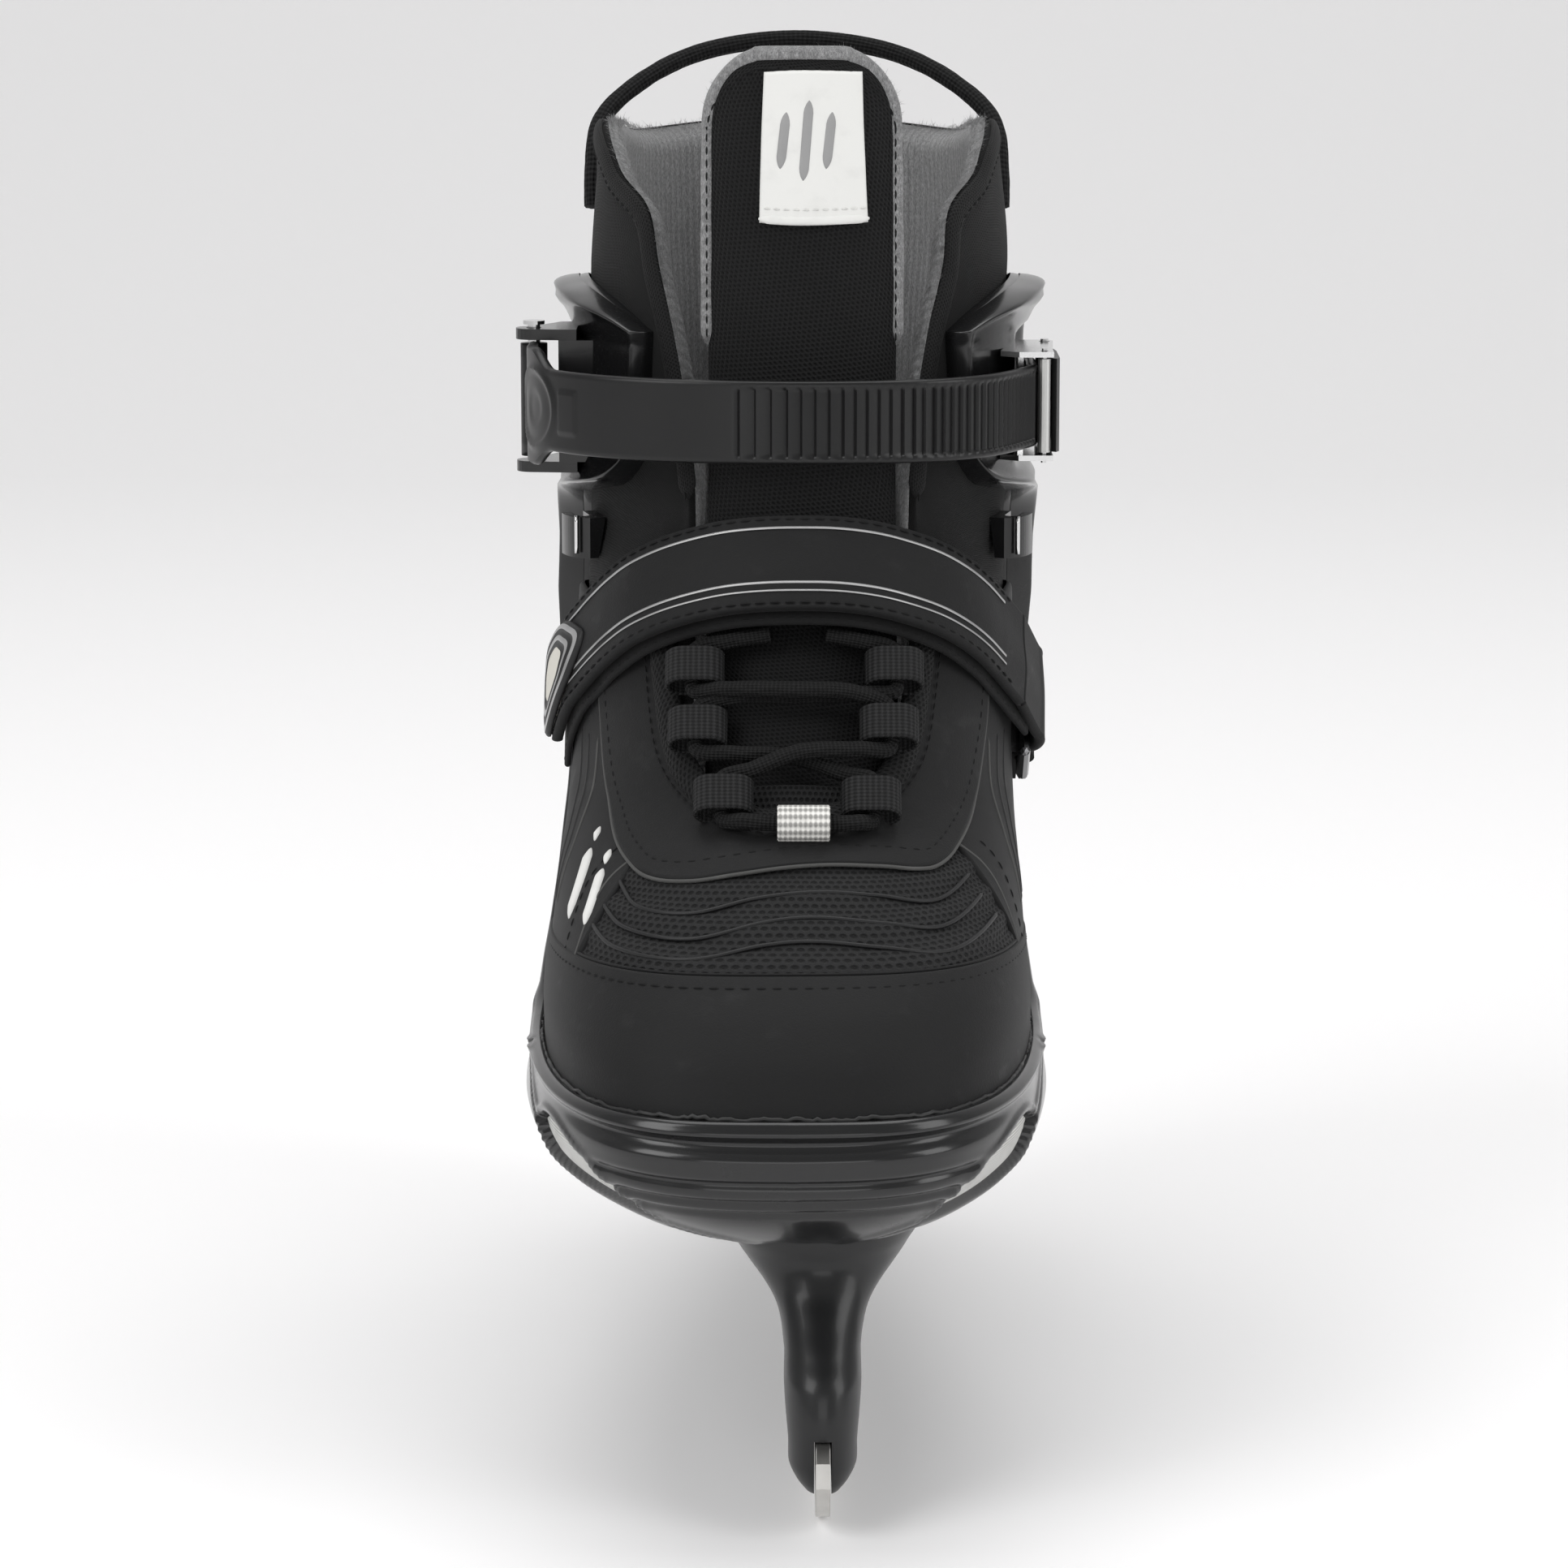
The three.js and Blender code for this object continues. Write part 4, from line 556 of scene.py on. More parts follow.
def block(name, outline, axis, low, high):
    """A straight cutter: an outline in the two other axes, in mm."""
    count = len(outline)
    ends = []
    for far in (low, high):
        for a, b in outline:
            place = [a, b]
            place.insert(axis, far)
            ends.append(place)
    faces = [tuple(range(count)), tuple(range(2 * count - 1, count - 1, -1))]
    faces += [(i, (i + 1) % count, (i + 1) % count + count, i + count) for i in range(count)]
    mesh = bpy.data.meshes.new(name)
    mesh.from_pydata((np.array(ends) * MM).tolist(), [], faces)
    return edit(shown(name, mesh), face_out)


def cut(obj, cutter):
    """Takes the cutter's space out of the object for good."""
    change = obj.modifiers.new("cut", "BOOLEAN")
    change.operation, change.solver, change.object = "DIFFERENCE", "EXACT", cutter
    return settled(obj, cutter)


def settled(obj, *spent):
    """Fixes the object's modifiers into its mesh and removes what they used."""
    view = bpy.context.evaluated_depsgraph_get()
    view.update()
    mesh = bpy.data.meshes.new_from_object(obj.evaluated_get(view))
    obj.modifiers.clear()
    obj.data = mesh
    for other in spent:
        bpy.data.objects.remove(other)
    return obj


def window_outline():
    high = 61.5
    h, low = WINDOW_HALF, WINDOW_LOW
    side = spline([(h - 16, low), (h - 3, low + 3), (h + 2, low + 12), (h - 3, high - 8), (h - 12, high)], 22)
    return [tuple(p) for p in side] + [(-y, z) for y, z in side[::-1]]


holder = grid("holder", holder_points(), ring=True)
edit(holder, cap)
cut(holder, block("window", window_outline(), 0, -40, 40))
cut(holder, block("blade_slot", [(-1.8, -150), (1.8, -150), (1.8, 150), (-1.8, 150)], 2, 0, 20.3))
soften = holder.modifiers.new("soft edges", "BEVEL")
soften.width, soften.segments, soften.angle_limit = 0.0006, 2, np.radians(50)
settled(holder)
sharp(holder, 38)
holder_black = plastic("holder_plastic", (0.011, 0.0112, 0.0118), 0.33, coat=0.12, wear=1.2)
holder.data.materials.clear()
holder.data.materials.append(holder_black)
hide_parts("blade_holder")
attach(holder, "boot")

# ---------------------------------------------------------------- blade and fixings
# The blade: a 3 mm strip of stainless steel, ground lengthways, hollow along the running face.
# Two cross pins hold it in the holder and two sole bolts hold the holder on the shell.


def steel(name, colour, roughness, grain=(1, 0.03, 1), wear=1.0):
    """Brushed steel with fine lengthwise scratches and dull patches."""
    made, tree, shader, place, _ = finish(name, colour, roughness, Metallic=1.0)
    lines = noise(tree, place, 0.00028, 5, 0.7, grain)
    dull = noise(tree, place, 0.012, 4)
    rough = maths(tree, "MULTIPLY_ADD", lines, 0.16, roughness - 0.08)
    rough = maths(tree, "MULTIPLY_ADD", dull, 0.14 * wear, rough)
    tone = mixed(tree, ramp(tree, dull, 0.45, 0.75, 0, 0.4 * wear), colour, tuple(c * 0.6 for c in colour))
    relief = bump(tree, lines, 0.2, 0.00003)
    wire(tree, shader, Base_Color=tone, Roughness=rough, Normal=relief.outputs[0])
    return made


def blade_points():
    rings = []
    bevel, half = 0.2, 1.5
    rear_tip = 135 - 25 * np.linspace(1, 0, 30) ** 1.6
    front_tip = -135 + 25 * np.linspace(0, 1, 30) ** 1.6
    for y in np.concatenate([front_tip, np.linspace(-108, 108, 60), rear_tip]):
        past = 0.84 * max(0.0, abs(y) - 110)
        low = 24 - np.sqrt(max(0.0, 24**2 - min(past, 23.6) ** 2))
        high = 20 - 0.9 * max(0.0, abs(y) - 131) ** 1.4 * 0.35
        low = min(low, high - 1.5)
        profile = [(-half + bevel, low), (-0.5, low + 0.12), (0.5, low + 0.12), (half - bevel, low)]
        profile += [(half, low + bevel), (half, high - bevel), (half - bevel, high)]
        profile += [(-half + bevel, high), (-half, high - bevel), (-half, low + bevel)]
        rings.append([(x, y, z) for x, z in profile])
    return np.array(rings)


def dress(node, material, rounding=0.0):
    """Finishes a plain CAD node: a material, and edges rounded by so many mm."""
    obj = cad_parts[node]
    obj.data.materials.clear()
    obj.data.materials.append(material)
    if rounding:
        bevel = obj.modifiers.new("rounded", "BEVEL")
        bevel.width, bevel.segments, bevel.limit_method = rounding * MM, 2, "ANGLE"
        bevel.angle_limit = np.radians(35)
        bevel.harden_normals = False


blade = grid("blade_steel", blade_points(), across=True)
edit(blade, cap)
sharp(blade, 30)
blade_steel = steel("blade_stainless", (0.62, 0.61, 0.585), 0.3)
blade.data.materials.append(blade_steel)
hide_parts("blade")
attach(blade, "boot")
zinc = steel("zinc_steel", (0.55, 0.55, 0.54), 0.34, (1, 1, 1), 1.2)
for node in ("blade_pin_front", "blade_pin_rear", "sole_bolt_front", "sole_bolt_rear"):
    dress(node, zinc, 0.25)

# ---------------------------------------------------------------- toe rand
# The rand: one plain panel of matte black synthetic wrapped round the toe and under the shell.
# It is stitched along its top edge and bonded to the shell with a bead of adhesive.

TURN_SCALE = (50, 1)
RAND_THICK = 1.0


def shares(length, step, edge):
    """Places from 0 to 1 along a length, close together near both ends."""
    near = edge * np.array([0, 0.06, 0.2, 0.42, 0.7, 1.0, 1.35])
    near = near[near < length / 2.2]
    count = max(2, int((length - 2 * near[-1]) / step))
    inner = np.linspace(near[-1], length - near[-1], count + 1)[1:-1]
    return np.concatenate([near, inner, length - near[::-1]]) / length


def along(line, at):
    """Points on the smooth line at the given shares of its length."""
    dense = spline(line, 500, TURN_SCALE[: len(line[0])] if len(line[0]) == 2 else None)
    return np.stack([np.interp(at, np.linspace(0, 1, 500), dense[:, k]) for k in range(dense.shape[1])], 1)


def length_of(points):
    return float(np.linalg.norm(np.diff(points, axis=0), axis=1).sum())


def panel(name, low, high, thick, lift=0.0, edge=1.3, step=1.5, relief=None, grow=0.0):
    """A patch between two lines on the boot, with rolled edges. Lines hold direction and height."""
    low, high = spline(low, 400, TURN_SCALE), spline(high, 400, TURN_SCALE)
    first = skin(low[:, 0], low[:, 1], lift, grow)
    last = skin(high[:, 0], high[:, 1], lift, grow)
    run = (length_of(first) + length_of(last)) / 2
    wide = float(np.linalg.norm(first - last, axis=1).mean())
    s, t = shares(run, step, edge), shares(wide, step, edge)
    ends = np.linspace(0, 1, 400)
    a = np.stack([np.interp(s, ends, low[:, k]) for k in (0, 1)], 1)
    b = np.stack([np.interp(s, ends, high[:, k]) for k in (0, 1)], 1)
    turn = a[:, None, 0] + (b - a)[:, None, 0] * t[None]
    z = a[:, None, 1] + (b - a)[:, None, 1] * t[None]
    border = np.minimum(np.minimum(s, 1 - s)[:, None] * run, np.minimum(t, 1 - t)[None] * wide)
    roll = np.sqrt(1 - (1 - np.clip(border / edge, 0, 1)) ** 2)
    out = lift - 0.25 + (thick + 0.25) * roll
    if relief:
        out = out + relief(turn, z, border)
    made = grid(name, skin(turn, z, out, grow))
    if np.sign((b[:, 1] - a[:, 1]).sum()) * np.sign(a[-1, 0] - a[0, 0]) < 0:
        flip(made)
    return made


def on_front(points):
    """Direction and height of points given across and up the front face."""
    return [(float(front(x, z)), z) for x, z in points]


def on_side(side, points):
    """Direction and height of points given along and up one side."""
    return [(float(beside(y, z, side)), z) for y, z in points]


def sweep(name, centre, up, profile, closed=True, taper=0.0):
    """Carries a flat profile along a line. up is the profile's second direction."""
    way = unit(np.gradient(centre, axis=0))
    up = unit(up - (up * way).sum(1, keepdims=True) * way)
    side = np.cross(way, up)
    size = np.ones(len(centre))
    if taper:
        far = np.concatenate([[0], np.cumsum(np.linalg.norm(np.diff(centre, axis=0), axis=1))])
        size = np.clip(np.minimum(far, far[-1] - far) / taper, 0.05, 1) ** 0.5
    profile = np.asarray(profile, float)[None] * size[:, None, None]
    points = centre[:, None] + side[:, None] * profile[..., :1] + up[:, None] * profile[..., 1:]
    made = grid(name, points, across=closed)
    return edit(made, cap) if closed else made


def circle(radius, count, flat=1.0):
    t = np.linspace(0, 2 * np.pi, count, endpoint=False)
    return np.stack([radius * np.cos(t), radius * flat * np.sin(t)], 1)


def line_on_skin(line, out, step=1.0):
    """Points and outward directions along a line laid on the boot."""
    rough = spline(line, 200, TURN_SCALE)
    count = max(4, int(length_of(skin(rough[:, 0], rough[:, 1], out)) / step))
    turn, z = spline(line, count, TURN_SCALE).T
    return skin(turn, z, out), outward(turn, z)


def edging(name, line, out, width, height, step=1.2):
    """A thin rounded strip along a line on the boot."""
    centre, up = line_on_skin(line, out, step)
    t = np.linspace(0, np.pi, 7)
    profile = np.stack([-width / 2 * np.cos(t), height * np.sin(t)], 1)
    profile = np.vstack([profile, [(width / 2, -0.3), (-width / 2, -0.3)]])
    return sweep(name, centre, up, profile, taper=width)


def stitching(name, centre, up, length=2.3, gap=0.9, radius=0.24):
    """A row of lockstitches along a line of points."""
    far = np.concatenate([[0], np.cumsum(np.linalg.norm(np.diff(centre, axis=0), axis=1))])
    parts, faces, count = [], [], 0
    t = np.linspace(0, 1, 5)
    around = np.linspace(0, 2 * np.pi, 6, endpoint=False)
    for start in np.arange(gap, far[-1] - length, length + gap):
        at = start + length * t
        middle = np.stack([np.interp(at, far, centre[:, k]) for k in range(3)], 1)
        normal = unit(np.stack([np.interp(at, far, up[:, k]) for k in range(3)], 1))
        way = unit(np.gradient(middle, axis=0))
        side = np.cross(way, normal)
        fat = radius * np.sqrt(np.clip(1 - (2 * t - 1) ** 4, 0.06, 1))
        sink = 0.5 * radius * (2 * t - 1) ** 2
        ring = middle[:, None] + side[:, None] * (fat[:, None] * np.cos(around))[..., None]
        ring = ring + normal[:, None] * (fat[:, None] * np.sin(around) - sink[:, None])[..., None]
        parts.append(ring.reshape(-1, 3))
        for i in range(4):
            for k in range(6):
                one, two = count + i * 6 + k, count + i * 6 + (k + 1) % 6
                faces.append((one, two, two + 6, one + 6))
        count += 30
    mesh = bpy.data.meshes.new(name)
    mesh.from_pydata((np.vstack(parts) * MM).tolist(), [], faces)
    return edit(shown(name, mesh), face_out)


def stitched(name, line, out, **sizes):
    centre, up = line_on_skin(line, out, 0.6)
    row = stitching(name, centre, up, **sizes)
    row.data.materials.append(thread)
    return row


def synthetic(name, colour, roughness=0.62):
    """Coated microfibre: a fine matte pebble, faint creases and rubbed high spots."""
    made, tree, shader, place, _ = finish(name, colour, roughness, Sheen_Weight=0.03)
    shader.inputs["Sheen Roughness"].default_value = 0.6
    shader.inputs["Specular IOR Level"].default_value = 0.17
    cells = link(tree, "ShaderNodeTexVoronoi", {"Vector": place, "Scale": 2100}, feature="SMOOTH_F1")
    fine = noise(tree, place, 0.00032, 3)
    creases = noise(tree, place, 0.011, 5, 0.6, (1, 1, 1.6))
    height = maths(tree, "MULTIPLY_ADD", cells.outputs["Distance"], 0.5, fine)
    height = maths(tree, "MULTIPLY_ADD", creases, 1.2, height)
    rubbed = ramp(tree, creases, 0.55, 0.8)
    light = tuple(c * 1.7 + 0.003 for c in colour)
    tone = mixed(tree, maths(tree, "MULTIPLY", rubbed, 0.5), colour, light)
    tone = mixed(tree, ramp(tree, fine, 0.64, 0.78, 0, 0.3), tone, tuple(c * 3 for c in colour))
    rough = maths(tree, "MULTIPLY_ADD", rubbed, -0.1, roughness)
    relief = bump(tree, height, 0.35, 0.00016)
    wire(tree, shader, Base_Color=tone, Roughness=rough, Normal=relief.outputs[0])
    return made


def spun(name, colour, pitch=0.0011):
    """Twisted sewing thread or cord yarn."""
    made, tree, shader, place, _ = finish(name, colour, 0.7, Specular_IOR_Level=0.2)
    fibres = noise(tree, place, pitch, 5, 0.7)
    tone = mixed(tree, fibres, tuple(c * 0.5 for c in colour), tuple(c * 1.6 for c in colour))
    wire(tree, shader, Base_Color=tone, Normal=bump(tree, fibres, 0.6, 0.0002).outputs[0])
    return made


matte_black = synthetic("matte_black_synthetic", (0.0085, 0.0085, 0.0088))
cut_edge = synthetic("cut_edge_grey", (0.07, 0.07, 0.068))
thread = spun("black_thread", (0.006, 0.006, 0.0062))

seam_end = float(beside(-62, 104, 1))
SEAM = [(-seam_end, 104), (-1.0, 110.5), (-0.6, 114), (-0.25, 116.6), (0, 117.2), (0.25, 116.8)]
SEAM += [(0.6, 114), (1.0, 110.5), (seam_end, 104)]
rand_foot = [(t, 87.0) for t in np.linspace(-seam_end, seam_end, 9)]


def rand_folds(turn, z, border):
    """The rand's slow dents."""
    slow = 0.35 * np.sin(turn * 5.1 + z * 0.05) * np.sin(z * 0.13 + turn)
    return slow * np.clip(border / 8, 0, 1)


rand = panel("toe_rand_panel", rand_foot, SEAM, RAND_THICK, 0.6, 1.0, 1.6, rand_folds)
rand.data.materials.append(matte_black)
rand_stitches = stitched("rand_stitches", [(t, z - 2.2) for t, z in SEAM], 1.55)
rand_edge = edging("rand_edge", [(t, z + 0.2) for t, z in SEAM], 0.9, 0.7, 0.35)
rand_edge.data.materials.append(matte_black)


def glue_bead():
    """The ragged adhesive line between the rand and the shell's rim."""
    rng = np.random.default_rng(7)
    turns = np.linspace(-1.5, 1.5, 520)
    wave = sum(rng.normal(0, 0.22) * np.sin(turns * k + rng.uniform(0, 6)) for k in (9, 23, 41, 77, 130))
    rough = np.abs(rng.normal(0, 0.2, turns.size))
    z = rim_height(turns) + 0.5 + wave + rough
    centre = skin(turns, z, 1.7 + 0.3 * rough)
    return sweep("glue_bead", centre, outward(turns, z), circle(0.55, 7), taper=2.0)


glue = glue_bead()
glue.data.materials.append(plastic("dried_adhesive", (0.02, 0.02, 0.02), 0.42))
for piece in (rand_stitches, rand_edge, glue):
    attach(piece, "boot")
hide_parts("toe_rand")
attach(rand, "boot")

# ---------------------------------------------------------------- vamp
# The vamp: coarse black air mesh over the toes, with thin wavy rubber lines welded on it.
# Its edges are sewn under the rand, the eyestay and the side overlays.


def knit(name, colour, pitch, depth, roughness=0.75, tilt=0.0):
    """Knitted mesh: staggered open cells, measured on the piece's own texture map."""
    made, tree, shader, place, uv = finish(name, colour, roughness, Sheen_Weight=0.03, Specular_IOR_Level=0.2)
    turned = link(tree, "ShaderNodeMapping", {"Vector": uv, "Rotation": (0, 0, tilt)})
    split = link(tree, "ShaderNodeSeparateXYZ", {0: turned.outputs[0]})
    across = maths(tree, "DIVIDE", split.outputs[0], pitch)
    up = maths(tree, "DIVIDE", split.outputs[1], pitch * 0.62)
    row = maths(tree, "FLOOR", up)
    shift = maths(tree, "MULTIPLY", maths(tree, "MODULO", row, 2.0), 0.5)
    x = maths(tree, "SUBTRACT", maths(tree, "FRACT", maths(tree, "ADD", across, shift)), 0.5)
    y = maths(tree, "SUBTRACT", maths(tree, "FRACT", up), 0.5)
    squares = maths(tree, "ADD", maths(tree, "MULTIPLY", x, x), maths(tree, "MULTIPLY", y, y))
    far = maths(tree, "SQRT", squares)
    strand = ramp(tree, far, 0.16, 0.46)
    fuzz = noise(tree, place, 0.00035, 4, 0.7)
    wear = noise(tree, place, 0.012, 3)
    dark = tuple(c * 0.25 for c in colour)
    light = tuple(c * 1.9 for c in colour)
    tone = mixed(tree, strand, dark, mixed(tree, maths(tree, "MULTIPLY", fuzz, wear), colour, light))
    height = maths(tree, "MULTIPLY_ADD", fuzz, 0.35, strand)
    wire(tree, shader, Base_Color=tone, Normal=bump(tree, height, 0.9, depth).outputs[0])
    return made


vamp_mesh = knit("black_air_mesh", (0.014, 0.014, 0.0145), 0.0021, 0.0006)
vamp_low = [(t, 103.0) for t in np.linspace(-1.1, 1.1, 7)]
vamp_high = on_front([(-47, 139), (-36, 144), (-20, 147), (-6, 148), (10, 147), (24, 145), (35, 140)])


def vamp_pad(turn, z, border):
    """The foam under the mesh swells between the welded lines."""
    return 0.35 * np.sin((z + 2.5 * np.cos(turn * 2.4)) * 1.15) * np.clip(border / 3, 0, 1)


vamp = panel("vamp_mesh", vamp_low, vamp_high, 0.5, 0.1, 1.0, 1.3, vamp_pad)
vamp.data.materials.append(vamp_mesh)
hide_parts("vamp")
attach(vamp, "boot")
WELDS = [
    [(-43, 130.5), (-41, 128), (-37.6, 126), (-27, 126.2), (-14, 128.8)]
    + [(-1, 129.8), (11, 129), (23, 127.2), (30.5, 129.6)],
    [(-46.5, 126.5), (-44, 124), (-40, 122.5), (-27, 122.4), (-12.5, 125.2)]
    + [(-1, 126), (12.5, 124.8), (24.5, 123.2), (33, 126)],
    [(-48.5, 122.6), (-46, 120.4), (-41.5, 119.2), (-27, 119.4), (-12.5, 121.8)]
    + [(-1, 122.4), (12.5, 121.2), (26, 119.4), (36, 121.8)],
]
weld_rubber = plastic("welded_rubber_line", (0.012, 0.012, 0.0125), 0.45)
for number, points in enumerate(WELDS):
    weld = edging(f"vamp_weld_{number}", on_front(points), 0.85, 0.95, 0.38)
    weld.data.materials.append(weld_rubber)
    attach(weld, "boot")

# ---------------------------------------------------------------- quarters
# The quarters: matte black synthetic panels down both sides of the foot, over the vamp's ends.
# The outer one has a moulded white badge with a plain two-bar mark, and each has welded lines.


QUARTER_FRONTS = {
    -1: [(-51.5, 112), (-45.6, 126.5), (-37.5, 134)],
    1: [(41, 111), (35.2, 127.5), (27.5, 135)],
}
QUARTER_FOOT = [(-66, 98), (-40, 92), (-10, 104), (30, 128), (70, 132), (98, 134)]
QUARTER_HEAD = [(-58, 152), (-40, 168), (-8, 178), (30, 176), (70, 168), (98, 160)]


def quarter(side, name, node):
    """One side panel, from its curved front edge back to the heel counter."""
    x = -1 if side < 0 else 1
    fronts = QUARTER_FRONTS[side]
    foot = on_front(fronts[:1]) + on_side(side, QUARTER_FOOT)
    head = on_front(fronts[-1:]) + on_side(side, QUARTER_HEAD)
    made = panel(name, foot, head, 0.9, 0.35, 1.1, 1.6)
    bent = [on_front([p])[0] for p in fronts]
    trim = edging(f"{name}_edge", bent, 1.1, 0.75, 0.32)
    trim.data.materials.append(cut_edge)
    inside = [(t + x * 0.055, z + 0.6) for t, z in bent]
    row = stitched(f"{name}_stitches", inside, 1.3)
    lines = []
    for number, (low, high) in enumerate(((-58, -47), (-53, -40), (-47, -33))):
        points = on_side(side, [(low, 118), (low + 5, 130), ((low + high) / 2 + 8, 141), (high + 9, 151)])
        weld = edging(f"{name}_weld_{number}", points, 1.2, 0.8, 0.3)
        weld.data.materials.append(cut_edge if number == 0 else weld_rubber)
        lines.append(weld)
    made.data.materials.append(matte_black)
    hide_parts(node)
    for piece in (made, trim, row, *lines):
        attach(piece, "boot")
    return made


quarter(-1, "outer_quarter", "quarter_outer")
quarter(1, "inner_quarter", "quarter_inner")


def badge():
    """Two plain slanted bars and two dots, moulded in white rubber on the outer quarter."""
    parts = []
    for low, high, width in (((-52.2, 119.5), (-48.2, 131.5), 3.0), ((-48.6, 120.4), (-45.4, 129.5), 2.6)):
        middle = ((low[0] + high[0]) / 2, (low[1] + high[1]) / 2)
        parts.append(edging("badge", on_front([low, middle, high]), 1.2, width, 1.1, 0.5))
    for x, z in ((-46.9, 134.2), (-44.4, 131.6)):
        dot = on_front([(x - 0.5, z - 1.2), (x, z), (x + 0.5, z + 1.2)])
        parts.append(edging("badge", dot, 1.2, 2.2, 0.9, 0.4))
    return joined("white_badge", parts)


def rubber(name, colour, roughness=0.5):
    """Soft moulded rubber with a faint skin and handling marks."""
    made, tree, shader, place, _ = finish(name, colour, roughness)
    stains = noise(tree, place, 0.006, 5)
    tone = mixed(tree, ramp(tree, stains, 0.5, 0.8, 0, 0.35), colour, tuple(c * 0.78 for c in colour))
    relief = bump(tree, noise(tree, place, 0.0004, 3), 0.2, 0.0001)
    wire(tree, shader, Base_Color=tone, Normal=relief.outputs[0])
    return made


white_rubber = rubber("white_rubber", (0.74, 0.74, 0.72))
mark = badge()
mark.data.materials.clear()
mark.data.materials.append(white_rubber)
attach(mark, "boot")

# ---------------------------------------------------------------- eyestay
# The eyestay: a wide U of matte synthetic round the lacing, stitched twice, over the vamp.
# A padded knitted binding is sewn round its inner edge.

EYESTAY_OUT = [(-48.5, 176), (-47.4, 165), (-46.6, 156.5), (-45.4, 145), (-43.4, 136), (-39.5, 131.6), (-35, 130.2)]
EYESTAY_OUT += [(-27, 130.6), (-18, 132), (-8, 133.2), (2, 133.6), (12, 133), (19, 132), (23.5, 131.9)]
EYESTAY_OUT += [(27.6, 134), (31.7, 140), (34.2, 152), (35.4, 163), (36.5, 176)]
EYESTAY_IN = [(-34.6, 182), (-34.6, 172), (-33.6, 162), (-31.5, 152), (-28, 146), (-22.6, 142), (-16, 139.8)]
EYESTAY_IN += [(-7, 138.9), (2, 139.8), (9.4, 142), (14.6, 146), (18.4, 152), (20.8, 162), (22.2, 172), (22.4, 182)]

eyestay = panel("eyestay_panel", on_front(EYESTAY_OUT), on_front(EYESTAY_IN), 1.0, 1.1, 1.0, 1.4)
eyestay.data.materials.append(matte_black)
eyestay_edge = edging("eyestay_edge", on_front(EYESTAY_OUT), 1.45, 0.8, 0.36)
eyestay_edge.data.materials.append(cut_edge)


def shifted(line, amount):
    """The line moved sideways on the boot by an amount in mm, to its left as it runs."""
    dense = spline(line, 60, TURN_SCALE)
    flat = dense * TURN_SCALE
    way = unit(np.gradient(flat, axis=0))
    moved = flat + amount * np.stack([-way[:, 1], way[:, 0]], 1)
    return moved / TURN_SCALE


eyestay_row = stitched("eyestay_stitches", shifted(on_front(EYESTAY_OUT), 2.6), 2.05)


def binding_tube(name, line, out, width, height):
    """A soft padded binding along a line, with the give of sewn foam."""
    centre, up = line_on_skin(line, out, 0.8)
    wave = 0.25 * np.sin(np.linspace(0, 60, len(centre)))[:, None]
    t = np.linspace(0, 2 * np.pi, 18, endpoint=False)
    profile = np.stack([width / 2 * np.cos(t), height * np.sin(t)], 1)
    return sweep(name, centre + up * wave * 0.4, up, profile, taper=3)


binding_knit = knit("binding_knit", (0.008, 0.008, 0.0082), 0.0016, 0.00045, tilt=0.6)
binding = binding_tube("eyestay_binding", shifted(on_front(EYESTAY_IN), 1.2), 1.6, 6.4, 1.9)
binding.data.materials.append(binding_knit)
binding_groove = stitched("binding_stitches", shifted(on_front(EYESTAY_IN), -1.4), 2.75, length=1.8)
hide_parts("eyestay")
for piece in (eyestay, eyestay_edge, eyestay_row, binding, binding_groove):
    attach(piece, "boot")

# ---------------------------------------------------------------- heel counter
# The counter: a stiff synthetic cap over the heel, stitched over both quarters' rear ends.

COUNTER_FRONT = 92
heel_turn = float(beside(COUNTER_FRONT, 130, 1))
counter_foot = [(t, 118.0) for t in np.linspace(heel_turn, 2 * np.pi - heel_turn, 9)]
heel_share = [(t - heel_turn) / (2 * np.pi - 2 * heel_turn) for t, _ in counter_foot]
counter_head = [(t, 171 + 4 * np.sin(a * np.pi)) for (t, _), a in zip(counter_foot, heel_share)]
counter = panel("heel_counter_panel", counter_foot, counter_head, 0.7, 1.1, 1.0, 1.8)
counter.data.materials.append(matte_black)
counter_row = stitched("counter_stitches", [(t, z - 2.4) for t, z in counter_head], 1.75)
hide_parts("heel_counter")
for piece in (counter, counter_row):
    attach(piece, "boot")

# ---------------------------------------------------------------- shaft
# The shaft: matte stretch cloth over foam, wrapped round the ankle and open at the front.
# Its lining is a grey ribbed fleece, rolled outward and showing as a soft lip at the collar.

SHAFT_LOW = 154.5
neoprene = knit("shaft_neoprene", (0.007, 0.007, 0.0072), 0.00075, 0.00022, 0.8, 0.5)


def round_back(front_side, side_points, back_z):
    """A line from the right of the throat round the heel to the left, in direction and height.
    front_side holds (x right, x left, z) and side_points (y, z)."""
    right = [(float(front(a, z)), z) for a, _, z in front_side]
    left = [(2 * np.pi + float(front(b, z)), z) for _, b, z in front_side]
    right += on_side(1, side_points)
    left += [(2 * np.pi + t, z) for t, z in on_side(-1, side_points)]
    return right + [(np.pi, back_z)] + left[::-1]


shaft_sides = [(y, SHAFT_LOW) for y in (-20, 20, 70)]
shaft_foot = round_back([(20.2, -28.2, SHAFT_LOW)], shaft_sides, SHAFT_LOW)
COLLAR_FRONT = [(20.4, -28.4, 205), (22, -30.5, 222), (24.6, -33.4, 238), (28, -36.6, 252)]
COLLAR_SIDE = [(-14, 264.5), (-1, 271), (10, 276.5), (26, 280.2), (48, 279.6), (78, 275.6), (100, 276.5)]


